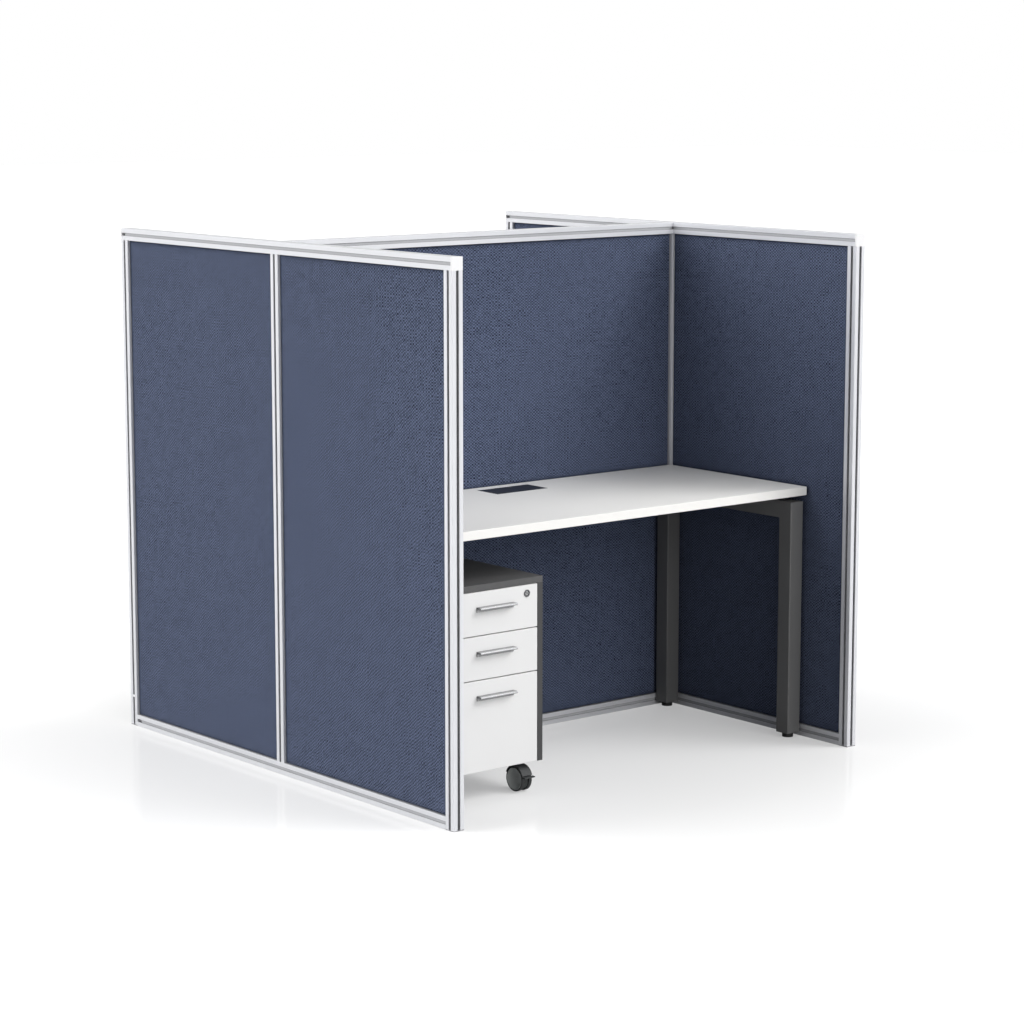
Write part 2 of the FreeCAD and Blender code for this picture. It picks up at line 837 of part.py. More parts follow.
def desk_brackets(desk_name):
    """The angle at each rear corner, on the middle post's face and under the worktop."""
    rear = -size.stile_depth / 2
    deep = (rear - size.bracket_length, rear)
    brackets = []
    for side_name, side in SIDES.items():
        name = f"{desk_name}_{side_name}_bracket"
        parts = []
        for label, reach, drop in (("_upright", size.bracket_wall, size.bracket_drop),
                                   ("_ledge", size.bracket_reach, size.bracket_wall)):
            ends = (side * (wing_inner - reach), side * wing_inner)
            parts.append(box(name + label, ends if side > 0 else ends[::-1], deep,
                             (worktop_bottom - drop, worktop_bottom)))
        brackets.append(fuse(name, parts))
    return brackets


def port_frame(desk_name):
    """The plastic frame of the cable port: a flange flush with the worktop and a sleeve through it."""
    body = new_body(desk_name + "_port_body")
    flange = new_sketch(body, "flange", "XY_Plane", flange_bottom)
    draw_rectangle(flange, both_ways(port_middle_x, size.port_width / 2),
                   both_ways(port_middle_y, size.port_depth / 2))
    plate = pad(body, flange, size.flange_height, "flange_plate")
    round_edges(body, plate, size.flange_corner, runs_along(2))
    sleeve = new_sketch(body, "sleeve", "XY_Plane", flange_bottom)
    draw_rectangle(sleeve, both_ways(port_middle_x, sleeve_half_x), both_ways(port_middle_y, sleeve_half_y))
    pad(body, sleeve, flange_bottom - worktop_bottom, "sleeve_wall", against_normal=True)
    inside = new_sketch(body, "inside", "XY_Plane", size.worktop_height + size.overrun)
    draw_rectangle(inside, both_ways(port_middle_x, port_half_x), both_ways(port_middle_y, port_half_y))
    pocket(body, inside, size.worktop_thickness + 2 * size.overrun, "way_through")

    pieces = [body]
    front_wall = port_middle_y - port_half_y
    ledge_top = flap_bottom - size.flap_ledge_gap
    deep = (front_wall, front_wall + size.flap_ledge)
    tall = (ledge_top - size.sleeve_wall, ledge_top)
    for side_name, side in SIDES.items():
        wall = port_middle_x + side * port_half_x
        end = wall - side * size.flap_ledge_length
        across = (wall, end) if side < 0 else (end, wall)
        pieces.append(box(f"{desk_name}_{side_name}_ledge", across, deep, tall))
    sockets = []
    for side_name, side in SIDES.items():
        wall = port_middle_x + side * port_half_x
        depth = size.flap_pin_bite + size.flap_gap
        start = wall - depth if side < 0 else wall - size.overrun
        sockets.append(cylinder(f"{desk_name}_{side_name}_socket", "X", (start, flap_axis_y, flap_axis_z),
                                size.flap_pin_radius + size.flap_pin_clearance, depth + size.overrun))
    return cut(desk_name + "_port_frame", fuse(desk_name + "_port_blank", pieces), sockets)


def cable_flap(desk_name):
    half = port_half_x - size.flap_gap
    front = port_middle_y - port_half_y + size.flap_gap
    plate = board(desk_name + "_flap_plate", both_ways(port_middle_x, half),
                  (front, flap_axis_y + size.flap_tail), (flap_bottom, flap_top), size.flap_corner)
    reach = half + size.flap_gap + size.flap_pin_bite
    pins = cylinder(desk_name + "_flap_pins", "X", (port_middle_x - reach, flap_axis_y, flap_axis_z),
                    size.flap_pin_radius, 2 * reach)
    name = desk_name + "_cable_flap"
    node(turned(name, [fuse(desk_name + "_flap_with_pins", [plate, pins])], DESKS[desk_name]), name)


def desks():
    beams, spacers, screws, feet, brackets, frames = [], [], [], [], [], []
    for desk_name, degrees in DESKS.items():
        worktop(desk_name)
        leg_frames(desk_name)
        cable_flap(desk_name)
        desk_spacers, desk_screws = worktop_fixings(desk_name)
        beams.append(turned(desk_name + "_beams", [crossbeam(desk_name)], degrees))
        spacers.append(turned(desk_name + "_spacers", desk_spacers, degrees))
        screws.append(turned(desk_name + "_screws", desk_screws, degrees))
        feet.append(turned(desk_name + "_feet", levelling_feet(desk_name), degrees))
        brackets.append(turned(desk_name + "_brackets", desk_brackets(desk_name), degrees))
        frames.append(turned(desk_name + "_frames", [port_frame(desk_name)], degrees))
    made = {"desk_crossbeams": beams, "worktop_spacers": spacers, "worktop_screws": screws,
            "levelling_feet": feet, "desk_brackets": brackets, "cable_port_frames": frames}
    for name, pieces in made.items():
        node(group(name, pieces), name)


# Pedestal

front_left = case_middle - case_inner_half + size.front_side_gap
front_right = case_middle + case_inner_half - size.front_side_gap
front_1_top = opening_top - size.front_top_gap
front_2_top = front_1_top - size.upper_front_height - size.front_gap
front_3_top = front_2_top - size.upper_front_height - size.front_gap
front_3_bottom = case_bottom + size.front_bottom_gap
box_half = case_inner_half - size.runner_gap


def upper_drawer(top):
    bottom = top - size.upper_front_height
    floor = bottom + size.upper_box_lift
    return dict(top=top, bottom=bottom, floor=floor, rim=floor + size.upper_box_height,
                rail=floor + size.upper_rail_rise)


def file_drawer(top, bottom):
    floor = bottom + size.file_box_lift
    return dict(top=top, bottom=bottom, floor=floor, rim=top - size.file_box_top_gap,
                rail=floor + size.file_rail_rise)


DRAWERS = {
    "drawer_1": upper_drawer(front_1_top),
    "drawer_2": upper_drawer(front_2_top),
    "drawer_3": file_drawer(front_3_top, front_3_bottom),
}
lock_x = case_middle + size.lock_offset
lock_z = opening_top - size.lock_drop
cam_front = front_back + size.cam_gap


def pedestal_case():
    full = both_ways(case_middle, case_half)
    inner = both_ways(case_middle, case_inner_half)
    node(board("pedestal_top", full, (case_front, case_rear), (opening_top, case_top), size.board_corner),
         "pedestal_top")
    sides = [board("pedestal_left_side", (full[0], inner[0]), (case_front, case_rear),
                   (case_bottom, opening_top), size.board_corner),
             board("pedestal_right_side", (inner[1], full[1]), (case_front, case_rear),
                   (case_bottom, opening_top), size.board_corner)]
    node(group("pedestal_sides", sides), "pedestal_sides")
    base_top = case_bottom + size.board
    node(box("pedestal_base", inner, (front_back + size.base_setback, case_rear), (case_bottom, base_top)),
         "pedestal_base")
    node(box("pedestal_back", inner, (case_rear - size.back_board, case_rear), (base_top, opening_top)),
         "pedestal_back")


def pull_screw_places(drawer):
    plate_bottom = DRAWERS[drawer]["top"] - size.pull_drop - size.pull_plate
    z = plate_bottom - (size.pull_flange_height - size.pull_plate) / 2
    reach = size.pull_screw_spacing / 2
    return [(side_name, case_middle + side * reach, z) for side_name, side in SIDES.items()]


def pull_screw_holes(name, drawer, start_y, length):
    radius = size.pull_screw_radius + size.pull_screw_clearance
    return [cylinder(f"{name}_{side_name}_hole", "Y", (x, start_y, z), radius, length)
            for side_name, x, z in pull_screw_places(drawer)]


def drawer_front(drawer):
    name = drawer + "_front"
    span = DRAWERS[drawer]
    panel = board(name + "_board", (front_left, front_right), (case_front, front_back),
                  (span["bottom"], span["top"]), size.board_corner)
    start, through = case_front - size.overrun, size.board + 2 * size.overrun
    holes = pull_screw_holes(name, drawer, start, through)
    if drawer == "drawer_1":
        radius = size.lock_radius + size.lock_clearance
        holes.append(cylinder("lock_hole", "Y", (lock_x, start, lock_z), radius, through))
    node(cut(name, panel, holes), name)


def drawer_box(drawer):
    """A box of five welded steel sheets, with the moving member of each runner on its sides."""
    name = drawer + "_box"
    span = DRAWERS[drawer]
    floor, rim, wall = span["floor"], span["rim"], size.box_wall
    box_rear = front_back + size.box_length
    deep = (front_back, box_rear)
    between = both_ways(case_middle, box_half - wall)
    above_floor = (floor + wall, rim)
    front_sheet = box(name + "_front_sheet", between, (front_back, front_back + wall), above_floor)
    holes = pull_screw_holes(name, drawer, front_back - size.overrun, wall + 2 * size.overrun)
    pieces = [cut(name + "_drilled_sheet", front_sheet, holes),
              box(name + "_floor_sheet", between, deep, (floor, floor + wall)),
              box(name + "_rear_sheet", between, (box_rear - wall, box_rear), above_floor)]
    rail_deep = (front_back + size.channel_front_setback, front_back + size.channel_length)
    rail_half = size.channel_height / 2 - size.channel_wall - size.rail_clearance
    rail_outer = case_inner_half - size.channel_wall - size.rail_side_clearance
    for side_name, side in SIDES.items():
        for label, low, high, along, tall in (
                ("sheet", box_half - wall, box_half, deep, (floor, rim)),
                ("rail", box_half, rail_outer, rail_deep, both_ways(span["rail"], rail_half))):
            ends = (case_middle + side * low, case_middle + side * high)
            across = ends if side > 0 else ends[::-1]
            pieces.append(box(f"{name}_{side_name}_{label}", across, along, tall))
    node(group(name, pieces), name)


def case_runners():
    """The fixed steel channels on the inside of the pedestal's sides."""
    runners = []
    for drawer, span in DRAWERS.items():
        deep = (front_back + size.channel_front_setback, front_back + size.channel_length)
        for side_name, side in SIDES.items():
            name = f"{drawer}_{side_name}_runner"
            outer = case_middle + side * case_inner_half
            web = outer - side * size.channel_wall
            tip = outer - side * size.channel_reach
            beyond = tip - side * size.overrun
            tall = both_ways(span["rail"], size.channel_height / 2)
            block = box(name + "_block", (outer, tip) if side < 0 else (tip, outer), deep, tall)
            groove = box(name + "_groove", (web, beyond) if side < 0 else (beyond, web),
                         (deep[0] - size.overrun, deep[1] + size.overrun),
                         (tall[0] + size.channel_wall, tall[1] - size.channel_wall))
            runners.append(cut(name, block, [groove]))
    node(group("case_runners", runners), "case_runners")


def drawer_pull(drawer):
    """A plate pull with a rounded front lip, its flange on the drawer front and its two screws."""
    name = drawer + "_pull"
    top = DRAWERS[drawer]["top"] - size.pull_drop
    across = both_ways(case_middle, size.pull_length / 2)
    lip_y = case_front - size.pull_reach + size.pull_lip_radius
    plate = box(name + "_plate", across, (lip_y, case_front), (top - size.pull_plate, top))
    flange = box(name + "_flange", across, (case_front - size.pull_plate, case_front),
                 (top - size.pull_flange_height, top))
    lip = cylinder(name + "_lip", "X", (across[0], lip_y, top - size.pull_lip_radius), size.pull_lip_radius,
                   size.pull_length)
    pieces = [fuse(name + "_profile", [plate, flange, lip])]
    inside_face = front_back + size.box_wall
    for side_name, x, z in pull_screw_places(drawer):
        shank = cylinder(f"{name}_{side_name}_shank", "Y", (x, case_front, z), size.pull_screw_radius,
                         size.board + size.box_wall)
        head = cylinder(f"{name}_{side_name}_head", "Y", (x, inside_face, z), size.pull_screw_head_radius,
                        size.pull_screw_head)
        pieces.append(fuse(f"{name}_{side_name}_screw", [shank, head]))
    node(group(name, pieces), name)


def lock():
    """The turning barrel with its face and cam, and the strike that the cam catches."""
    face_y = case_front - size.lock_face_gap - size.lock_face
    face = cylinder("lock_face_disc", "Y", (lock_x, face_y, lock_z), size.lock_face_radius, size.lock_face)
    barrel = cylinder("lock_body", "Y", (lock_x, face_y, lock_z), size.lock_radius,
                      cam_front + size.cam_thickness - face_y)
    cam = box("lock_cam", (lock_x - size.cam_reach, lock_x), (cam_front, cam_front + size.cam_thickness),
              both_ways(lock_z, size.cam_height / 2))
    deep = (face_y - size.overrun, face_y + size.key_slot_depth)
    slot = box("key_slot", both_ways(lock_x, size.key_slot_height / 2), deep,
               both_ways(lock_z, size.key_slot_width / 2))
    node(cut("lock_barrel", fuse("lock_blank", [face, barrel, cam]), [slot]), "lock_barrel")

    across = both_ways(lock_x, size.strike_width / 2)
    strike_front = cam_front - size.strike_clearance - size.strike_wall
    tab = box("strike_tab", across, (strike_front, strike_front + size.strike_wall),
              (opening_top - size.strike_drop, opening_top))
    seat = box("strike_seat", across, (strike_front, strike_front + size.strike_reach),
               (opening_top - size.strike_wall, opening_top))
    node(fuse("lock_strike", [tab, seat]), "lock_strike")


# Casters. Each is drawn with its swivel axis on the body's Z axis and is then moved to its corner.

wheel_inner = size.web_width / 2 + size.wheel_gap
wheel_outer = wheel_inner + size.wheel_width
axle_y = -size.caster_trail
axle_z = size.wheel_radius
hood_inner = size.wheel_radius + size.hood_clearance
hood_outer = hood_inner + size.hood_wall
hood_half = wheel_outer - size.hood_inset
stem_top = size.caster_height - size.plate_thickness
boss_top = stem_top - size.plate_gap
boss_bottom = axle_z + size.wheel_radius + size.stem_boss_gap / 2
brake_y = axle_y - size.brake_axis_back
brake_z = axle_z + size.brake_axis_rise

# the side, the end and the swivel at rest; at zero the wheels trail to the front
CASTERS = {
    "front_left": (-1, -1, 180), "front_right": (1, -1, 0),
    "rear_left": (-1, 1, 0), "rear_right": (1, 1, 0),
}


def caster_corner(corner):
    side, end, _ = CASTERS[corner]
    x = case_middle + side * (case_half - size.caster_inset)
    y = case_front + size.caster_inset if end < 0 else case_rear - size.caster_inset
    return x, y


def set_down(piece, corner):
    """Moves a piece of a caster to its corner, turned to its swivel at rest."""
    piece.Placement = Placement(Vector(), Rotation(Vector(0, 0, 1), CASTERS[corner][2]))
    place(piece, *caster_corner(corner))


def caster_housing(corner):
    name = f"caster_{corner}_housing"
    trail = size.overrun
    lowest = axle_z - hood_outer - trail
    drum = cylinder(name + "_drum", "X", (-hood_half, axle_y, axle_z), hood_outer, 2 * hood_half)
    room = cylinder(name + "_room", "X", (-hood_half - trail, axle_y, axle_z), hood_inner,
                    2 * (hood_half + trail))
    below_hood = box(name + "_below_hood", both_ways(as_size(0), hood_half + trail),
                     both_ways(axle_y, hood_outer + trail), (lowest, axle_z + size.hood_rise))
    hood = cut(name + "_hood", drum, [room, below_hood])

    half_web = size.web_width / 2
    middle_radius = (hood_inner + hood_outer) / 2
    disc = cylinder(name + "_disc", "X", (-half_web, axle_y, axle_z), middle_radius, size.web_width)
    below_web = box(name + "_below_web", both_ways(as_size(0), half_web + trail),
                    both_ways(axle_y, hood_outer + trail), (lowest, axle_z + size.web_rise))
    web = cut(name + "_web", disc, [below_web])
    boss = cylinder(name + "_axle_boss", "X", (-half_web, axle_y, axle_z), size.web_boss_radius,
                    size.web_width)
    stem_web = box(name + "_stem_web", both_ways(as_size(0), half_web),
                   both_ways(as_size(0), size.stem_boss_radius),
                   (boss_bottom - size.stem_web_depth, boss_bottom + size.stem_boss_gap))
    stem_boss = cylinder(name + "_stem_boss", "Z", (0, 0, boss_bottom), size.stem_boss_radius,
                         boss_top - boss_bottom)
    blank = fuse(name + "_blank", [hood, web, boss, stem_web, stem_boss])

    clearance = size.running_clearance
    axle_hole = cylinder(name + "_axle_hole", "X", (-hood_half, axle_y, axle_z),
                         size.axle_radius + clearance, 2 * hood_half)
    stem_hole = cylinder(name + "_stem_hole", "Z", (0, 0, stem_top - size.stem_length - size.overrun),
                         size.stem_radius + clearance, size.stem_length + size.overrun)
    cutters = [axle_hole, stem_hole]
    if corner.startswith("front"):
        half_slot = size.brake_arm / 2 + size.brake_arm_clearance
        room = size.brake_boss_radius + size.overrun
        before = axle_y - hood_outer - trail
        cutters.append(box(name + "_brake_slot", both_ways(as_size(0), half_slot), (before, brake_y + room),
                           (axle_z, brake_z + room)))
        cutters.append(box(name + "_paddle_room", both_ways(as_size(0), half_web + trail),
                           (before, axle_y - size.brake_room_start), (axle_z, axle_z + size.hood_rise)))
        cutters.append(cylinder(name + "_brake_socket", "X",
                                (-half_slot - size.brake_pin_bite, brake_y, brake_z),
                                size.brake_pin_radius + clearance, 2 * (half_slot + size.brake_pin_bite)))
    housing = cut(name, blank, cutters)
    set_down(housing, corner)
    node(housing, name)


def caster_wheel(name, side):
    """One wheel, turned about its axle: a tyre band round a deeply dished outer face."""
    inner, outer = wheel_inner, wheel_outer
    radius, edge = size.wheel_radius, size.tyre_edge
    rim = radius - size.tyre_band
    dish = outer - size.dish_depth
    bore = size.axle_radius + size.running_clearance
    half_section = [(inner, bore), (dish, bore), (dish, size.dish_floor_radius), (outer, rim),
                    (outer, radius - edge), (outer - edge, radius), (inner + edge, radius),
                    (inner, radius - edge)]
    body = new_body(name)
    sketch = new_sketch(body, "half_section", "XY_Plane")
    draw_outline(sketch, [(side * x, y) for x, y in half_section])
    wheel = body.newObject("PartDesign::Revolution", "wheel")
    wheel.Profile = sketch
    wheel.ReferenceAxis = (sketch, ["H_Axis"])
    wheel.Angle = 360
    place(body, 0, axle_y, axle_z)
    return body


def caster_wheels(corner):
    name = f"caster_{corner}_wheels"
    axle = cylinder(name + "_axle", "X", (-wheel_outer + size.dish_depth, axle_y, axle_z), size.axle_radius,
                    2 * (wheel_outer - size.dish_depth))
    wheels = [caster_wheel(f"{name}_{side_name}", side) for side_name, side in SIDES.items()]
    pair = group(name, wheels + [axle])
    set_down(pair, corner)
    node(pair, name)


def caster_plates():
    """The fixed plate and stem on which each caster swivels."""
    plates = []
    half = size.plate_side / 2
    for corner in CASTERS:
        plate = box(f"{corner}_plate", both_ways(as_size(0), half), both_ways(as_size(0), half),
                    (stem_top, size.caster_height))
        stem = cylinder(f"{corner}_stem", "Z", (0, 0, stem_top - size.stem_length), size.stem_radius,
                        size.stem_length)
        fixed = fuse(f"{corner}_plate_and_stem", [plate, stem])
        place(fixed, *caster_corner(corner))
        plates.append(fixed)
    node(group("caster_plates", plates), "caster_plates")


def brake_pedal(corner):
    """The pedal between the wheels of a front caster, on a pin in the housing's web."""
    name = f"caster_{corner}_brake"
    half_arm = size.brake_arm / 2
    half_thick = size.brake_thickness / 2
    tip, start = axle_y - size.brake_paddle_reach, axle_y - size.brake_paddle_start
    arm = box(name + "_arm", both_ways(as_size(0), half_arm), (start, brake_y),
              both_ways(brake_z, half_thick))
    boss = cylinder(name + "_boss", "X", (-half_arm, brake_y, brake_z), size.brake_boss_radius,
                    size.brake_arm)
    pin_half = half_arm + size.brake_arm_clearance + size.brake_pin_bite - size.running_clearance
    pin = cylinder(name + "_pin", "X", (-pin_half, brake_y, brake_z), size.brake_pin_radius, 2 * pin_half)
    paddle = box(name + "_paddle", both_ways(as_size(0), size.brake_paddle_width / 2), (tip, start),
                 both_ways(brake_z, half_thick))
    pedal = fuse(name, [arm, boss, pin, paddle])
    set_down(pedal, corner)
    node(pedal, name)


def pedestal():
    pedestal_case()
    case_runners()
    for drawer in DRAWERS:
        drawer_front(drawer)
        drawer_box(drawer)
        drawer_pull(drawer)
    lock()
    caster_plates()
    for corner in CASTERS:
        caster_housing(corner)
        caster_wheels(corner)
        if corner.startswith("front"):
            brake_pedal(corner)


# Build, check and write

for side_of_spine in SIDES:
    wing(side_of_spine)
wing_bottom_rails()
spine_screen()
infill_strips()
screen_trim()
desks()
pedestal()
doc.recompute()

for piece in doc.Objects:
    if "Invalid" in piece.State or "Error" in piece.State:
        raise RuntimeError(f"{piece.Label}: {piece.State}")
for piece in nodes:
    if piece.Shape.isNull() or not piece.Shape.isValid() or not piece.Shape.Solids:
        raise RuntimeError(f"{piece.Label}: no valid solid")

os.makedirs("parts", exist_ok=True)
for piece in nodes:
    piece.Shape.exportStep(f"parts/{piece.Label}.step")
print(len(nodes), "nodes,", sum(len(piece.Shape.Solids) for piece in nodes), "solids")
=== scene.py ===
import json
import math

import bmesh
import bpy
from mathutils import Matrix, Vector


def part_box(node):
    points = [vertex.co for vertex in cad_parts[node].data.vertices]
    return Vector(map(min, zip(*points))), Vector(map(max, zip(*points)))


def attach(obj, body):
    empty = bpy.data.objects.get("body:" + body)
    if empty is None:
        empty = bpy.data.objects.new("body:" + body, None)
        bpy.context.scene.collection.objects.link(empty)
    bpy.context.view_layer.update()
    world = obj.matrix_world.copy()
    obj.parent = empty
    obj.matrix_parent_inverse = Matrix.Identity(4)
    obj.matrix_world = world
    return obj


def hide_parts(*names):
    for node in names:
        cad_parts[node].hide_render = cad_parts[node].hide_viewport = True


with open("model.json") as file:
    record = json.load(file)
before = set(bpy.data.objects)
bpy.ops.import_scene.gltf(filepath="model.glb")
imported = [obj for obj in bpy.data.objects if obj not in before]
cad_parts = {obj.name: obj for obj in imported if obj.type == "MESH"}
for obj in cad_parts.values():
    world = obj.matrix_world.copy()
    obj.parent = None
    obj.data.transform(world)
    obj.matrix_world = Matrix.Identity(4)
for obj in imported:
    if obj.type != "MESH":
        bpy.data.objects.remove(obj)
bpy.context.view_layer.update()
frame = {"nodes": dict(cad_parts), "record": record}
NODES = frame["nodes"]

MM = 0.001


# Colours

def srgb(red, green, blue):
    """A colour written as 0 to 255 on the screen, as the shader wants it."""
    def linear(level):
        c = level / 255
        return c / 12.92 if c <= 0.04045 else ((c + 0.055) / 1.055) ** 2.4
    return (linear(red), linear(green), linear(blue), 1.0)


def grey(level):
    """A grey given as the share of light that it throws back."""
    return (level, level, level, 1.0)


def shade(colour, amount):
    """The colour made darker, to a share of its light."""
    return tuple(amount * c for c in colour[:3]) + (1.0,)


WHITE = grey(1.0)


# Node graphs

class Graph:
    """The nodes of a material or of the world."""

    def __init__(self, tree):
        self.tree = tree
        self.tree.nodes.clear()

    def node(self, kind, **settings):
        made = self.tree.nodes.new(kind)
        for key, value in settings.items():
            setattr(made, key, value)
        return made

    def link(self, source, target):
        self.tree.links.new(source, target)

    def feed(self, socket, value):
        """A link where the value is another node's socket, and otherwise a number or colour."""
        if isinstance(value, bpy.types.NodeSocket):
            self.link(value, socket)
        else:
            socket.default_value = value

    def math(self, operation, first, second=0.0, third=0.0):
        made = self.node("ShaderNodeMath", operation=operation)
        for socket, value in zip(made.inputs, (first, second, third)):
            self.feed(socket, value)
        return made.outputs[0]

    def spread(self, value, low, high, to_low, to_high):
        """The value's range from low to high, stretched to another and cut off at its ends."""
        made = self.node("ShaderNodeMapRange")
        self.link(value, made.inputs["Value"])
        ends = (("From Min", low), ("From Max", high), ("To Min", to_low), ("To Max", to_high))
        for name, number in ends:
            made.inputs[name].default_value = number
        return made.outputs["Result"]

    def blend(self, amount, first, second):
        made = self.node("ShaderNodeMix", data_type="RGBA")
        for index, value in ((0, amount), (6, first), (7, second)):
            self.feed(made.inputs[index], value)
        return made.outputs[2]

    def any_ray(self, *names):
        """One for the named kinds of ray, zero for the rest."""
        rays = self.node("ShaderNodeLightPath")
        most = rays.outputs[names[0]]
        for name in names[1:]:
            most = self.math("MAXIMUM", most, rays.outputs[name])
        return most

    def mixed_shader(self, amount, first, second):
        made = self.node("ShaderNodeMixShader")
        for socket, value in zip(made.inputs, (amount, first, second)):
            self.feed(socket, value)
        return made.outputs[0]


class Paint(Graph):
    """A material with one main shader, painted from the object's own coordinates."""

    def __init__(self, name, roughness, metallic=0.0, **sockets):
        self.material = bpy.data.materials.new(name)
        self.material.use_nodes = True
        super().__init__(self.material.node_tree)
        out = self.node("ShaderNodeOutputMaterial")
        self.shader = self.node("ShaderNodeBsdfPrincipled")
        self.link(self.shader.outputs["BSDF"], out.inputs["Surface"])
        self.shader.inputs["Roughness"].default_value = roughness
        self.shader.inputs["Metallic"].default_value = metallic
        for socket, value in sockets.items():
            self.shader.inputs[socket.replace("_", " ")].default_value = value
        self.place = self.node("ShaderNodeTexCoord").outputs["Object"]

    def parts(self, vector):
        """The x, y and z of a vector."""
        made = self.node("ShaderNodeSeparateXYZ")
        self.link(vector, made.inputs[0])
        return made.outputs[0], made.outputs[1], made.outputs[2]

    def facing(self):
        """The three parts of the surface's own normal."""
        return self.parts(self.node("ShaderNodeNewGeometry").outputs["True Normal"])

    def stretched(self, scale):
        """The object's coordinates times a scale for each axis."""
        made = self.node("ShaderNodeMapping")
        self.link(self.place, made.inputs["Vector"])
        made.inputs["Scale"].default_value = scale
        return made.outputs[0]

    def noise(self, vector, scale, detail=2.0, roughness=0.5):
        made = self.node("ShaderNodeTexNoise")
        self.link(vector, made.inputs["Vector"])
        made.inputs["Scale"].default_value = scale
        made.inputs["Detail"].default_value = detail
        made.inputs["Roughness"].default_value = roughness
        return made.outputs["Fac"]

    def dice(self, x, y):
        """A level from zero to one of its own for each pair of whole numbers."""
        pair = self.node("ShaderNodeCombineXYZ")
        self.link(x, pair.inputs[0])
        self.link(y, pair.inputs[1])
        made = self.node("ShaderNodeTexWhiteNoise", noise_dimensions="2D")
        self.link(pair.outputs[0], made.inputs["Vector"])
        return made.outputs["Value"]

    def shade_in_hollows(self, reach, power=1.0, alone=False):
        """A factor for painted shade: one in the open, towards zero in grooves and corners, the
        object's own alone or all.
        """
        made = self.node("ShaderNodeAmbientOcclusion", samples=8, only_local=alone)
        made.inputs["Distance"].default_value = reach
        return self.math("POWER", made.outputs["AO"], power)

    def bump(self, height, depth, strength):
        made = self.node("ShaderNodeBump")
        made.inputs["Strength"].default_value = strength
        made.inputs["Distance"].default_value = depth
        self.link(height, made.inputs["Height"])
        self.link(made.outputs["Normal"], self.shader.inputs["Normal"])

    def colour(self, value):
        self.feed(self.shader.inputs["Base Color"], value)

    def rough(self, value):
        self.feed(self.shader.inputs["Roughness"], value)


# Materials

# The cloth's squares, and how many yarns lie in one
SQUARE_WIDTH, SQUARE_HEIGHT = 6.0 * MM, 4.4 * MM
YARNS = 2
# How far rows and columns wander, in squares, and how fast, per metre along x, y and z
ROW_SWAY, ROW_SWAY_SCALE = 1.1, (26.0, 26.0, 60.0)
COLUMN_SWAY, COLUMN_SWAY_SCALE = 0.8, (60.0, 60.0, 26.0)
# A dash of one shade runs over this many squares, and starts this much later in each row
DASH_LENGTH, DASH_SHIFT = 2.6, 0.37
# The patches in which every other row or column stands out: how much, and how many in a metre
PATCH_TONE, ROW_PATCHES, COLUMN_PATCHES = 0.16, 11.0, 15.0
STREAK_SCALE = (260.0, 260.0, 40.0)
CLOUD_SCALE = 3.2
FIBRE_SCALE, FIBRE_STRETCH = 420.0, (1.0, 1.0, 5.0)
# The place between the dark and the light yarn, and what each pattern adds or takes away
WEAVE_TONE = 0.59
TURN_TONE = -0.66
SQUARE_TONE = 0.26
STREAK_TONE = 0.35
DASH_TONE = 0.2
CLOUD_TONE = 0.06
FIBRE_TONE = 0.16
DARK_YARN, LIGHT_YARN = srgb(19, 23, 35), srgb(97, 107, 133)


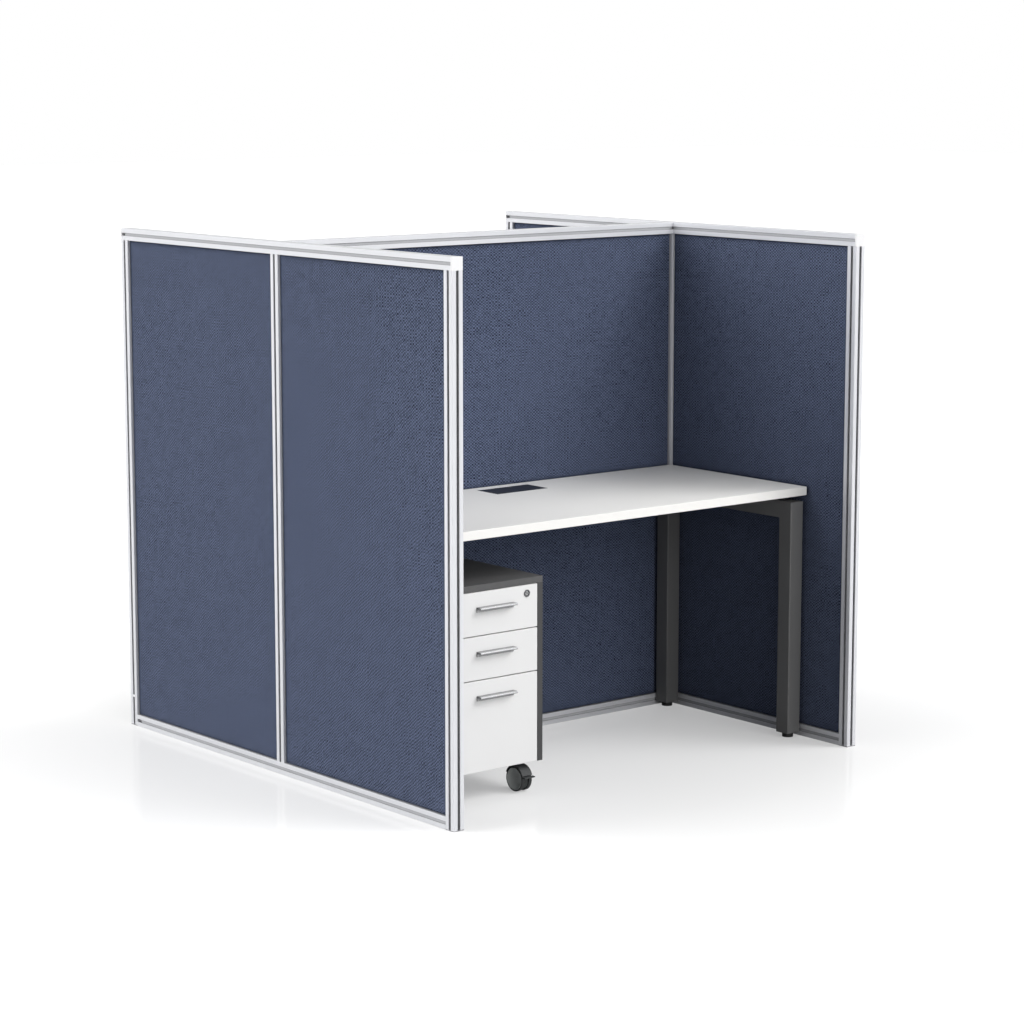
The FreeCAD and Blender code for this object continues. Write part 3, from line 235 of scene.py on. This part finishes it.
def woven_fabric(name):
    """A hopsack weave: by turns a square of light yarns across and one of darker yarns upright."""
    p = Paint(name, 0.95, Sheen_Weight=0.12, Sheen_Roughness=0.5, Sheen_Tint=srgb(170, 180, 205),
              Specular_IOR_Level=0.12)
    x, y, z = p.parts(p.place)
    # The panels stand along x or along y, so the sum runs along each of them
    along = p.math("ADD", x, y)
    row_sway = p.noise(p.stretched(ROW_SWAY_SCALE), 1.0)
    row_sway = p.spread(row_sway, 0.0, 1.0, -ROW_SWAY, ROW_SWAY)
    column_sway = p.noise(p.stretched(COLUMN_SWAY_SCALE), 1.0)
    column_sway = p.spread(column_sway, 0.0, 1.0, -COLUMN_SWAY, COLUMN_SWAY)
    u = p.math("ADD", p.math("DIVIDE", along, SQUARE_WIDTH), column_sway)
    v = p.math("ADD", p.math("DIVIDE", z, SQUARE_HEIGHT), row_sway)
    column, row = p.math("FLOOR", u), p.math("FLOOR", v)
    inside_u, inside_v = p.math("SUBTRACT", u, column), p.math("SUBTRACT", v, row)
    turn = p.math("FLOORED_MODULO", p.math("ADD", column, row), 2.0)

    def yarns(across, length):
        """The height of the yarns of a square, which dip under the next square at their ends."""
        wave = p.math("SINE", p.math("MULTIPLY", across, YARNS * math.pi))
        ridge = p.math("POWER", p.math("ABSOLUTE", wave), 0.7)
        bow = p.math("POWER", p.math("SINE", p.math("MULTIPLY", length, math.pi)), 0.5)
        return p.math("MULTIPLY", ridge, p.math("MULTIPLY_ADD", bow, 0.6, 0.4))

    flat, upright = yarns(inside_v, inside_u), yarns(inside_u, inside_v)
    height = p.math("ADD", p.math("MULTIPLY", flat, p.math("SUBTRACT", 1.0, turn)),
                    p.math("MULTIPLY", upright, turn))
    square = p.dice(column, row)
    dash_start = p.math("MULTIPLY_ADD", row, DASH_SHIFT, p.math("DIVIDE", u, DASH_LENGTH))
    dash = p.dice(p.math("FLOOR", dash_start), row)
    streak = p.noise(p.stretched(STREAK_SCALE), 1.0, 2.0, 0.55)
    cloud = p.noise(p.place, CLOUD_SCALE, 3.0, 0.55)
    fibre = p.noise(p.stretched(FIBRE_STRETCH), FIBRE_SCALE, 3.0, 0.7)

    tone = WEAVE_TONE
    for cells, scale in ((row, ROW_PATCHES), (column, COLUMN_PATCHES)):
        patch = p.spread(p.noise(p.place, scale, 1.0), 0.35, 0.65, -PATCH_TONE, PATCH_TONE)
        parity = p.math("SUBTRACT", p.math("FLOORED_MODULO", cells, 2.0), 0.5)
        tone = p.math("MULTIPLY_ADD", parity, patch, tone)
    for source, weight in ((turn, TURN_TONE), (square, SQUARE_TONE), (streak, STREAK_TONE),
                           (dash, DASH_TONE), (cloud, CLOUD_TONE)):
        tone = p.math("MULTIPLY_ADD", p.math("SUBTRACT", source, 0.5), weight, tone)
    # Painted shade: the dips between the yarns are darkened by the yarns' height.
    tone = p.math("MULTIPLY", tone, p.math("MULTIPLY_ADD", height, 0.75, 0.45))
    tone = p.math("MULTIPLY_ADD", p.math("SUBTRACT", fibre, 0.5), FIBRE_TONE, tone)
    woven = p.blend(tone, DARK_YARN, LIGHT_YARN)
    # Painted shade: the cloth is darkened within 14 mm of the frame that stands proud of it, a
    # painted shadow line along the rails and posts.
    p.colour(p.blend(p.shade_in_hollows(14 * MM, 1.2), shade(DARK_YARN, 0.5), woven))
    p.bump(height, 0.5 * MM, 0.5)
    return p.material


def extruded_metal(name, colour, axis, roughness=0.36, metallic=0.42, top=None):
    """Anodised or plated metal with the die's faint lines along one axis, painted shade that
    darkens its grooves, and top faces painted a given darker grey as painted shade.
    """
    p = Paint(name, roughness, metallic)
    scale = [700.0, 700.0, 700.0]
    scale["XYZ".index(axis)] = 2.5
    lines = p.noise(p.stretched(scale), 1.0, 3.0, 0.6)
    haze = p.noise(p.place, 6.0)
    p.rough(p.math("ADD", p.spread(lines, 0.25, 0.75, -0.05, 0.07),
                   p.spread(haze, 0.2, 0.8, roughness - 0.03, roughness + 0.05)))
    lined = p.blend(p.spread(lines, 0.3, 0.7, 0.0, 1.0), shade(colour, 0.95), colour)
    # Painted shade: faces turned up take the darker top colour, where one is given.
    if top:
        lined = p.blend(p.math("GREATER_THAN", p.facing()[2], 0.8), lined, top)
    # Painted shade: grooves and corners of the piece itself darken almost to black.
    p.colour(p.blend(p.shade_in_hollows(10 * MM, 1.35, alone=True), shade(colour, 0.06), lined))
    p.bump(lines, 0.02 * MM, 0.2)
    return p.material


def satin_metal(name, colour, roughness=0.22, reach=25.0):
    """Bright metal with painted shade: darker under its own lip and beside what it is fixed to,
    and darker on faces turned down, on its ends and on its flat top.
    """
    p = Paint(name, roughness, 0.9)
    grain = p.noise(p.stretched((6.0, 900.0, 900.0)), 1.0, 2.0, 0.6)
    p.rough(p.spread(grain, 0.2, 0.8, roughness - 0.05, roughness + 0.08))
    brushed = p.blend(p.noise(p.place, 30.0), shade(colour, 0.9), colour)
    # Painted shade by facing: faces turned down, the ends facing along x and flat tops are painted
    # darker, so the lip stays a painted highlight.
    end, _, up = p.facing()
    painted_end_shade = p.math("MULTIPLY", p.math("POWER", p.math("ABSOLUTE", end), 6.0), 0.8)
    painted_facing_light = p.math("SUBTRACT", p.spread(up, -0.75, 0.0, 0.25, 1.0), painted_end_shade)
    painted_top_shade = p.math("POWER", p.math("MAXIMUM", up, 0.0), 8.0)
    painted_facing_light = p.math("SUBTRACT", painted_facing_light, p.math("MULTIPLY", painted_top_shade, 0.28))
    painted_light_share = p.math("MULTIPLY", p.shade_in_hollows(reach * MM, 3.2), p.math("MAXIMUM", painted_facing_light, 0.0))
    p.colour(p.blend(painted_light_share, shade(colour, 0.1), brushed))
    p.bump(grain, 0.015 * MM, 0.2)
    return p.material


def moulded(name, colour, roughness, grain=1400.0, depth=0.03, strength=0.4, spread=0.1,
            reach=None):
    """Paint, laminate or plastic with its own fine grain and, where a reach is given, painted
    shade that darkens it within reach of what is close.
    """
    p = Paint(name, roughness)
    pores = p.noise(p.place, grain, 2.0, 0.6)
    haze = p.noise(p.place, 9.0, 3.0, 0.55)
    mixed = p.math("MULTIPLY_ADD", pores, 0.6, p.math("MULTIPLY", haze, 0.5))
    mixed = p.blend(mixed, shade(colour, 1 - spread), colour)
    # Painted shade within reach of what is close, where a reach is given.
    p.colour(p.blend(p.shade_in_hollows(reach * MM), shade(colour, 0.15), mixed) if reach else mixed)
    p.rough(p.spread(haze, 0.2, 0.8, roughness - 0.04, roughness + 0.06))
    p.bump(pores, depth * MM, strength)
    return p.material


# The grain of powder coat, of laminated board and of smooth white laminate
POWDER = {"grain": 1700.0, "depth": 0.05, "strength": 0.6}
BOARD = {"grain": 1100.0, "depth": 0.04, "strength": 0.5}
LAMINATE = {"grain": 900.0, "depth": 0.02, "strength": 0.25, "spread": 0.02}
SILVER = srgb(228, 229, 233)
# Painted shade: the rails' top faces are painted this darker grey.
RAIL_TOP_PAINTED_SHADE = srgb(176, 177, 180)
MATERIALS = {
    "panel_fabric": woven_fabric("woven_navy_fabric"),
    "frame_silver": extruded_metal("satin_silver_upright", SILVER, "Z"),
    "frame_silver_x": extruded_metal("satin_silver_along_x", SILVER, "X", top=RAIL_TOP_PAINTED_SHADE),
    "frame_silver_y": extruded_metal("satin_silver_along_y", SILVER, "Y", top=RAIL_TOP_PAINTED_SHADE),
    "stile_grey": moulded("stile_grey_paint", srgb(124, 125, 131), 0.45),
    # Painted shade: the recessed infill strips darken within 9 mm of the groove's lips.
    "infill_grey": moulded("infill_grey_plastic", srgb(190, 191, 195), 0.5, reach=9.0),
    "cap_white": moulded("cap_white_plastic", srgb(238, 238, 239), 0.42),
    "base_cap_grey": moulded("base_cap_plastic", srgb(150, 150, 154), 0.55),
    "zinc_steel": extruded_metal("zinc_plated_steel", srgb(190, 192, 194), "Y", 0.4, 0.8),
    "worktop_white": moulded("worktop_melamine", srgb(238, 237, 234), 0.42, **LAMINATE),
    "leg_charcoal": moulded("leg_powder_coat", srgb(104, 104, 104), 0.5, **POWDER),
    "black_plastic": moulded("black_foot_plastic", srgb(30, 30, 31), 0.55),
    "port_navy": moulded("port_navy_plastic", srgb(26, 31, 45), 0.6),
    "case_charcoal": moulded("case_melamine", srgb(62, 62, 63), 0.5, **BOARD),
    # Painted light: the pedestal's top is a paler copy of the case board.
    "case_top": moulded("case_top_melamine_painted_light", srgb(82, 82, 83), 0.45, **BOARD),
    "front_white": moulded("drawer_front_melamine", srgb(223, 223, 223), 0.42, **LAMINATE),
    "box_grey": moulded("drawer_box_paint", srgb(110, 110, 112), 0.45),
    "satin_metal": satin_metal("satin_chrome", srgb(235, 236, 238)),
    # Painted shade: the bezel is a darker copy of the satin chrome.
    "bezel_metal": satin_metal("bezel_chrome_painted_darker", srgb(118, 119, 122), 0.3, 6.0),
    "caster_black": moulded("caster_plastic", srgb(58, 60, 61), 0.5),
    "tyre_black": moulded("caster_tyre", srgb(42, 44, 45), 0.55),
    "wheel_grey": moulded("wheel_plastic", srgb(172, 176, 175), 0.4),
}
# The rails' lines run along them and their top faces are painted darker, painted shade; the
# pedestal's top is painted paler than its sides, painted light
SPECIAL_MATERIALS = {
    "centre_top_rail": "frame_silver_x",
    "centre_bottom_rail": "frame_silver_x",
    "left_top_rail": "frame_silver_y",
    "right_top_rail": "frame_silver_y",
    "wing_bottom_rails": "frame_silver_y",
    "pedestal_top": "case_top",
}

for subpart in frame["record"]["subparts"]:
    node_mesh = NODES[subpart["node"]].data
    node_mesh.materials.clear()
    key = SPECIAL_MATERIALS.get(subpart["node"], subpart["material_slot"])
    node_mesh.materials.append(MATERIALS[key])


# Mesh helpers

def piece(name, mesh, materials, body, replaced=(), sharp=35.0):
    """A finished mesh as a piece that rides on a body and may stand for CAD nodes."""
    for key in materials:
        mesh.materials.append(MATERIALS[key])
    mesh.polygons.foreach_set("use_smooth", [True] * len(mesh.polygons))
    mesh.set_sharp_from_angle(angle=math.radians(sharp))
    made = bpy.data.objects.new(name, mesh)
    bpy.context.scene.collection.objects.link(made)
    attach(made, body)
    if replaced:
        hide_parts(*replaced)
    return made


def mesh_of(name, points, faces, kinds=None):
    """A mesh with its doubled points joined and its faces turned outwards."""
    mesh = bpy.data.meshes.new(name)
    mesh.from_pydata(points, [], faces)
    if kinds:
        mesh.polygons.foreach_set("material_index", kinds)
    mesh.update()
    work = bmesh.new()
    work.from_mesh(mesh)
    bmesh.ops.remove_doubles(work, verts=work.verts, dist=0.01 * MM)
    bmesh.ops.recalc_face_normals(work, faces=work.faces)
    work.to_mesh(mesh)
    work.free()
    return mesh


# Fabric panels: a board wrapped in cloth, with a rounded edge and a slight crown

TONGUE = 2.5 * MM
CLOTH_HALF = 10 * MM
CLOTH_RADIUS = 2.6 * MM
CLOTH_CROWN = 0.9 * MM
CROWN_REACH = 28 * MM
# Slow waves of the cloth: their height, where they start and how fast they turn along and up
WAVE_HEIGHT = 0.12 * MM
WAVE_START = 6 * MM
WAVE_ALONG, WAVE_UP = 23, 17
CLOTH_GRID = 26 * MM
EDGE_STEPS = [step * MM for step in (0.0, 0.15, 0.6, 1.3, 2.0, 2.6, 5.0, 10.0, 18.0, 30.0)]


def steps_across(length):
    """Distances from one edge to the other, close together near both and even in between."""
    plain = length - 2 * EDGE_STEPS[-1]
    count = max(2, round(plain / CLOTH_GRID))
    middle = [EDGE_STEPS[-1] + plain * i / count for i in range(1, count)]
    return EDGE_STEPS + middle + [length - step for step in reversed(EDGE_STEPS)]


def cloth_depth(distance):
    """How far the cloth stands off the board's middle, at a distance from its edge."""
    if distance < CLOTH_RADIUS:
        drop = CLOTH_RADIUS - distance
        return CLOTH_HALF - CLOTH_RADIUS + math.sqrt(max(0.0, CLOTH_RADIUS ** 2 - drop ** 2))
    return CLOTH_HALF + CLOTH_CROWN * (1 - math.exp(-(distance - CLOTH_RADIUS) / CROWN_REACH))


def fabric_panel(node):
    """Both faces of a panel and the rim between them; its tongues stay hidden in the frame."""
    low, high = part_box(node)
    size = high - low
    flat = 0 if size.x < size.y else 1
    along = 1 - flat
    middle = (low[flat] + high[flat]) / 2
    inset = TONGUE if flat == 0 else 0.0
    start, length = low[along] + inset, size[along] - 2 * inset
    bottom, tall = low.z + TONGUE, size.z - 2 * TONGUE
    across, up = steps_across(length), steps_across(tall)
    width, rows = len(across), len(up)
    points, faces = [], []
    for side in (-1, 1):
        first = len(points)
        for v in up:
            for u in across:
                edge = min(u, length - u, v, tall - v)
                depth = cloth_depth(edge)
                if edge > WAVE_START:
                    depth += (WAVE_HEIGHT * math.sin(WAVE_ALONG * (start + u) + 3 * side)
                              * math.sin(WAVE_UP * v + 1))
                spot = [0.0, 0.0, bottom + v]
                spot[flat], spot[along] = middle + side * depth, start + u
                points.append(spot)
        for j in range(rows - 1):
            for i in range(width - 1):
                a = first + j * width + i
                faces.append((a, a + 1, a + 1 + width, a + width))
    rim = list(range(width))
    rim += [j * width + width - 1 for j in range(1, rows)]
    rim += [(rows - 1) * width + i for i in reversed(range(width - 1))]
    rim += [j * width for j in reversed(range(1, rows - 1))]
    other = width * rows
    for a, b in zip(rim, rim[1:] + rim[:1]):
        faces.append((a, b, b + other, a + other))
    name = node + "_cloth"
    return piece(name, mesh_of(name, points, faces), ["panel_fabric"], "root",
                 (node,), 50.0)


for node in NODES:
    if node.endswith("_panel"):
        fabric_panel(node)


# Turned and cut shapes. Profiles are in millimetres, outlines and places in metres.

def around(axis, centre, along, radius, angle):
    """A point at a distance along an axis through the centre, a radius away from it."""
    one, two = [i for i in range(3) if i != axis]
    spot = list(centre)
    spot[axis] += along * MM
    spot[one] += radius * MM * math.cos(angle)
    spot[two] += radius * MM * math.sin(angle)
    return spot


def inward(outline, inset):
    """The outline, given counterclockwise, moved in by an inset."""
    moved = []
    count = len(outline)
    for i, (x, y) in enumerate(outline):
        (ax, ay), (bx, by) = outline[i - 1], outline[(i + 1) % count]
        one, two = Vector((x - ax, y - ay)).normalized(), Vector((bx - x, by - y)).normalized()
        normals = Vector((-one.y, one.x)), Vector((-two.y, two.x))
        middle = (normals[0] + normals[1]).normalized()
        reach = inset / max(0.5, middle.dot(normals[0]))
        moved.append((x + middle.x * reach, y + middle.y * reach))
    return moved


def rounded_rectangle(low, high, radius, steps=6):
    """Counterclockwise points of a rectangle with round corners."""
    corners = ((high[0], high[1]), (low[0], high[1]), (low[0], low[1]), (high[0], low[1]))
    points = []
    for quarter, (x, y) in enumerate(corners):
        cx = x - radius if x == high[0] else x + radius
        cy = y - radius if y == high[1] else y + radius
        for step in range(steps + 1):
            angle = math.pi / 2 * (quarter + step / steps)
            points.append((cx + radius * math.cos(angle), cy + radius * math.sin(angle)))
    return points


class Shape:
    """Points and faces of one piece, gathered part by part, with a material for each face."""

    def __init__(self):
        self.points, self.faces, self.kinds = [], [], []

    def add(self, points, faces, kinds):
        first = len(self.points)
        self.points += points
        self.faces += [tuple(first + i for i in face) for face in faces]
        self.kinds += kinds

    def turned(self, axis, centre, profile, kinds, steps=72):
        """A ring from a closed profile of (along the axis, radius), with a material for each."""
        points = [around(axis, centre, along, radius, 2 * math.pi * step / steps)
                  for along, radius in profile for step in range(steps)]
        faces = []
        for row in range(len(profile)):
            low, high = row * steps, (row + 1) % len(profile) * steps
            for step in range(steps):
                after = (step + 1) % steps
                faces.append((low + step, low + after, high + after, high + step))
        self.add(points, faces, [kind for kind in kinds for _ in range(steps)])

    def rod(self, axis, centre, profile, kind=0, steps=48):
        """A solid turned shape: its profile starts and ends on the axis."""
        inner = profile[1:-1]
        points = [around(axis, centre, along, radius, 2 * math.pi * step / steps)
                  for along, radius in inner for step in range(steps)]
        points += [around(axis, centre, profile[end][0], 0, 0) for end in (0, -1)]
        last = (len(inner) - 1) * steps
        faces = []
        for step in range(steps):
            after = (step + 1) % steps
            faces.append((len(points) - 2, after, step))
            faces.append((len(points) - 1, last + step, last + after))
            for row in range(len(inner) - 1):
                a, b = row * steps, (row + 1) * steps
                faces.append((a + step, a + after, b + after, b + step))
        self.add(points, faces, [kind] * len(faces))

    def plate(self, axis, outline, low, high, ease):
        """A flat plate from an outline round its middle, with both faces' edges eased."""
        one, two = [i for i in range(3) if i != axis]
        count = len(outline)
        points, faces = [], []
        for along, inset in ((low, ease), (low + ease, 0.0), (high - ease, 0.0), (high, ease)):
            for a, b in inward(outline, inset):
                spot = [0.0, 0.0, 0.0]
                spot[axis], spot[one], spot[two] = along, a, b
                points.append(spot)
        for row in range(3):
            a, b = row * count, (row + 1) * count
            for i in range(count):
                j = (i + 1) % count
                faces.append((a + i, a + j, b + j, b + i))
        faces.append(tuple(reversed(range(count))))
        faces.append(tuple(range(3 * count, 4 * count)))
        self.add(points, faces, [0] * len(faces))

    def piece(self, name, materials, body, slot, replaced=(), sharp=35.0):
        mesh = mesh_of(name, self.points, self.faces, self.kinds)
        return piece(name, mesh, materials, body, replaced, sharp)


# Casters: twin wheels with a tyre band and a deep dished face

# Each wheel's section: millimetres from the middle of the pair, radius, and tyre 0 or wheel 1
WHEEL = [(6.5, 31.0, 0), (6.5, 33.4, 0), (6.9, 34.4, 0), (7.9, 35.0, 0), (12.0, 35.0, 0),
         (16.4, 35.0, 0), (17.4, 34.5, 0), (18.0, 33.4, 0), (18.0, 32.2, 0), (17.4, 31.7, 0),
         (17.4, 31.1, 1), (17.9, 30.6, 1), (17.9, 29.9, 1), (16.9, 28.8, 1), (14.3, 25.6, 1),
         (12.2, 21.6, 1), (10.7, 17.0, 1), (9.8, 12.0, 1), (9.5, 7.0, 1), (9.4, 3.05, 1),
         (6.5, 3.05, 1), (6.5, 9.0, 1), (7.4, 9.8, 1), (7.8, 28.2, 1)]
AXLE = [(-9.4, 0), (-9.4, 2.6), (-9.0, 3.0), (9.0, 3.0), (9.4, 2.6), (9.4, 0)]


def caster_wheels(corner):
    node = f"caster_{corner}_wheels"
    low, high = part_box(node)
    middle = (low + high) / 2
    shape = Shape()
    for side in (-1, 1):
        section = [(side * along, radius) for along, radius, _ in WHEEL]
        shape.turned(0, middle, section, [kind for _, _, kind in WHEEL])
    shape.rod(0, middle, AXLE, 2)
    shape.piece(f"caster_{corner}_tyres", ["tyre_black", "wheel_grey", "zinc_steel"],
                f"wheels_{corner}", "wheel_grey", (node,), 30.0)


for corner in ("front_left", "front_right", "rear_left", "rear_right"):
    caster_wheels(corner)


# Lock: a bezel ring, the plug with its key slot, the barrel and the cam

BEZEL = [(0.5, 10.0), (1.9, 10.0), (2.0, 9.9), (2.0, 6.6), (0.9, 6.5), (0.25, 6.9), (0.0, 7.6),
         (0.0, 9.0), (0.15, 9.7)]
FACE_RADIUS, FACE_THICKNESS = 10.0, 2.0
PLUG_RADIUS, PLUG_EDGE, PLUG_DEPTH, PLUG_EASE = 6.3, 5.9, 0.6, 0.2
KEY_SLOT_HALF, KEY_SLOT_CORNER, KEY_SLOT_DEPTH = (4.0, 0.8), 0.5, 1.8
BARREL_RADIUS, BARREL_EASE = 8.0, 0.4
CAM_THICKNESS, CAM_HALF, CAM_CORNER, CAM_EASE = 2.5, 5.0, 3.0, 0.3


def drawer_lock():
    low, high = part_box("lock_barrel")
    x, z = high.x - FACE_RADIUS * MM, (low.z + high.z) / 2
    face = Vector((x, low.y, z))
    shape = Shape()
    shape.turned(1, face, BEZEL, [1] * len(BEZEL))

    # The plug's face, cut by the key slot: rings from its rim into the slot, and one at its back
    half_width, half_height = (half * MM for half in KEY_SLOT_HALF)
    slot = rounded_rectangle((-half_width, -half_height), (half_width, half_height),
                             KEY_SLOT_CORNER * MM, 11)
    steps = len(slot)
    angles = [math.atan2(b, a) for a, b in slot]

    def circle(radius):
        return [(radius * MM * math.cos(angle), radius * MM * math.sin(angle)) for angle in angles]

    rings = ((PLUG_DEPTH + PLUG_EASE, circle(PLUG_RADIUS)), (PLUG_DEPTH, circle(PLUG_EDGE)),
             (PLUG_DEPTH, slot), (KEY_SLOT_DEPTH, slot), (FACE_THICKNESS, circle(PLUG_RADIUS)))
    points = [(x + a, low.y + depth * MM, z + b) for depth, ring in rings for a, b in ring]
    faces = []
    for row, other in ((0, 1), (1, 2), (2, 3), (4, 0)):
        for i in range(steps):
            j = (i + 1) % steps
            faces.append((row * steps + i, row * steps + j, other * steps + j, other * steps + i))
    faces += [tuple(range(3 * steps, 4 * steps)), tuple(range(4 * steps, 5 * steps))]
    shape.add(points, faces, [0] * len(faces))

    end = (high.y - low.y) / MM - CAM_THICKNESS
    shape.rod(1, face, [(FACE_THICKNESS, 0), (FACE_THICKNESS, BARREL_RADIUS),
                        (end - BARREL_EASE, BARREL_RADIUS), (end, BARREL_RADIUS - BARREL_EASE),
                        (end, 0)])
    cam = rounded_rectangle((low.x, z - CAM_HALF * MM), (x, z + CAM_HALF * MM), CAM_CORNER * MM)
    shape.plate(1, cam, high.y - CAM_THICKNESS * MM, high.y, CAM_EASE * MM)
    shape.piece("drawer_lock", ["satin_metal", "bezel_metal"], "lock", "satin_metal",
                ("lock_barrel",), 30.0)


drawer_lock()


# A small white clip that bridges the groove of the left rear post near the floor

CLIP_HEIGHT = 90 * MM
CLIP_HALF_WIDTH, CLIP_HALF_HEIGHT, CLIP_CORNER, CLIP_EASE = 4.4 * MM, 3.5 * MM, 1.2 * MM, 0.4 * MM
CLIP_FRONT, CLIP_BACK = 0.1 * MM, 2.9 * MM


def post_clip():
    low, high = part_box("left_rear_post")
    y = (low.y + high.y) / 2
    outline = rounded_rectangle((y - CLIP_HALF_WIDTH, CLIP_HEIGHT - CLIP_HALF_HEIGHT),
                                (y + CLIP_HALF_WIDTH, CLIP_HEIGHT + CLIP_HALF_HEIGHT), CLIP_CORNER)
    shape = Shape()
    shape.plate(0, outline, low.x + CLIP_FRONT, low.x + CLIP_BACK, CLIP_EASE)
    shape.piece("left_rear_post_clip", ["cap_white"], "root", "cap_white")


post_clip()


# Eased edges on the pieces that keep their CAD form

def soften(names, width):
    """A round of the given width in millimetres on every edge sharper than 40 degrees."""
    for name in names:
        weld = NODES[name].modifiers.new("weld", "WELD")
        weld.merge_threshold = 0.01 * MM
        bevel = NODES[name].modifiers.new("bevel", "BEVEL")
        bevel.width = width * MM
        bevel.segments = 3
        bevel.limit_method = "ANGLE"
        bevel.angle_limit = math.radians(40)
        bevel.use_clamp_overlap = True
        bevel.harden_normals = True


soften([f"drawer_{number}_pull" for number in (1, 2, 3)], 0.5)
soften(["levelling_feet"], 0.8)
soften([node for node in NODES if node.endswith(("_housing", "_brake"))], 0.4)


# Stage: floor, world and camera

FLOOR_REACH = 40.0
FLOOR_DROP = 0.0005
# What the floor throws back to the camera and in reflections, and to everything else
FLOOR_PALE = 0.55
FLOOR_BOUNCE = 0.3
FLOOR_GLOSS = 0.09
FLOOR_ROUGHNESS = 0.1
# The floor's camera-only glow towards white, weaker near the middle so the floor greys around the
# object as painted shade: metres from the middle where it starts and ends, and its levels
FLOOR_FADE = (1.0, 2.2, 0.342, 0.48)
# Soft boxes of the studio: azimuth from the front towards the left, elevation, tightness, strength
SOFT_BOXES = [(0, 12, 10, 3.45), (90, 12, 10, 0.5), (135, 12, 10, 4.6), (0, 42, 10, 0.55),
              (135, 42, 10, 3.5), (250, 42, 10, 0.45), (315, 42, 30, 11.4), (0, 90, 6, 0.25)]
# The photograph's viewpoint: metres, degrees below level and from the front, and millimetres
CAMERA_PLACE = (-5.2071, -6.4846, 2.0035)
CAMERA_DOWN = 9.0892
CAMERA_TURN = -39.2673
CAMERA_LENS = 100.34
CAMERA_SENSOR = 36.0
CAMERA_FAR = 100.0


def floor():
    """A pale floor that keeps its shadow and throws little light back up."""
    mesh = bpy.data.meshes.new("studio_floor")
    corners = ((-1, -1), (1, -1), (1, 1), (-1, 1))
    mesh.from_pydata([(FLOOR_REACH * x, FLOOR_REACH * y, 0) for x, y in corners], [],
                     [(0, 1, 2, 3)])
    made = bpy.data.objects.new("studio_floor", mesh)
    made.location.z = -FLOOR_DROP
    bpy.context.scene.collection.objects.link(made)
    material = bpy.data.materials.new("studio_floor")
    material.use_nodes = True
    mesh.materials.append(material)

    graph = Graph(material.node_tree)
    pale = graph.blend(graph.any_ray("Is Camera Ray", "Is Glossy Ray"),
                       grey(FLOOR_BOUNCE), grey(FLOOR_PALE))
    matt = graph.node("ShaderNodeBsdfDiffuse")
    graph.feed(matt.inputs["Color"], pale)
    gloss = graph.node("ShaderNodeBsdfGlossy")
    graph.feed(gloss.inputs["Color"], WHITE)
    graph.feed(gloss.inputs["Roughness"], FLOOR_ROUGHNESS)
    mixed = graph.mixed_shader(FLOOR_GLOSS, matt.outputs[0], gloss.outputs[0])
    away = graph.node("ShaderNodeVectorMath", operation="LENGTH")
    graph.link(graph.node("ShaderNodeTexCoord").outputs["Object"], away.inputs[0])
    # Painted shade: the glow that lifts the floor towards white is weaker near the object, so the
    # floor greys around it.
    lift = graph.math("MULTIPLY", graph.any_ray("Is Camera Ray"),
                      graph.spread(away.outputs["Value"], *FLOOR_FADE))
    glow = graph.node("ShaderNodeEmission")
    graph.link(lift, glow.inputs["Strength"])
    added = graph.node("ShaderNodeAddShader")
    graph.link(mixed, added.inputs[0])
    graph.link(glow.outputs[0], added.inputs[1])
    out = graph.node("ShaderNodeOutputMaterial")
    graph.link(added.outputs[0], out.inputs["Surface"])


def sky():
    """White behind the object and in reflections, and a soft studio light on everything."""
    world = bpy.data.worlds.new("studio")
    bpy.context.scene.world = world
    world.use_nodes = True
    graph = Graph(world.node_tree)
    place = graph.node("ShaderNodeTexCoord").outputs["Generated"]
    total = 0.0
    for azimuth, elevation, tightness, strength in SOFT_BOXES:
        turn, tilt = math.radians(azimuth), math.radians(elevation)
        facing = graph.node("ShaderNodeVectorMath", operation="DOT_PRODUCT")
        graph.link(place, facing.inputs[0])
        facing.inputs[1].default_value = (-math.sin(turn) * math.cos(tilt),
                                          -math.cos(turn) * math.cos(tilt), math.sin(tilt))
        edge = graph.math("MULTIPLY_ADD", facing.outputs["Value"], tightness, -tightness)
        total = graph.math("MULTIPLY_ADD", graph.math("EXPONENT", edge), strength, total)
    soft, white = graph.node("ShaderNodeBackground"), graph.node("ShaderNodeBackground")
    graph.link(total, soft.inputs["Strength"])
    for background in (soft, white):
        graph.feed(background.inputs["Color"], WHITE)
    seen = graph.any_ray("Is Camera Ray", "Is Glossy Ray", "Is Transmission Ray")
    out = graph.node("ShaderNodeOutputWorld")
    graph.link(graph.mixed_shader(seen, soft.outputs[0], white.outputs[0]), out.inputs["Surface"])


floor()
sky()

camera_data = bpy.data.cameras.new("camera")
camera_data.sensor_width = CAMERA_SENSOR
camera_data.lens = CAMERA_LENS
camera_data.clip_end = CAMERA_FAR
camera = bpy.data.objects.new("camera", camera_data)
camera.location = CAMERA_PLACE
camera.rotation_euler = (math.radians(90 - CAMERA_DOWN), 0.0, math.radians(CAMERA_TURN))
bpy.context.scene.collection.objects.link(camera)
bpy.context.scene.camera = camera
bpy.context.scene.view_settings.view_transform = "Standard"
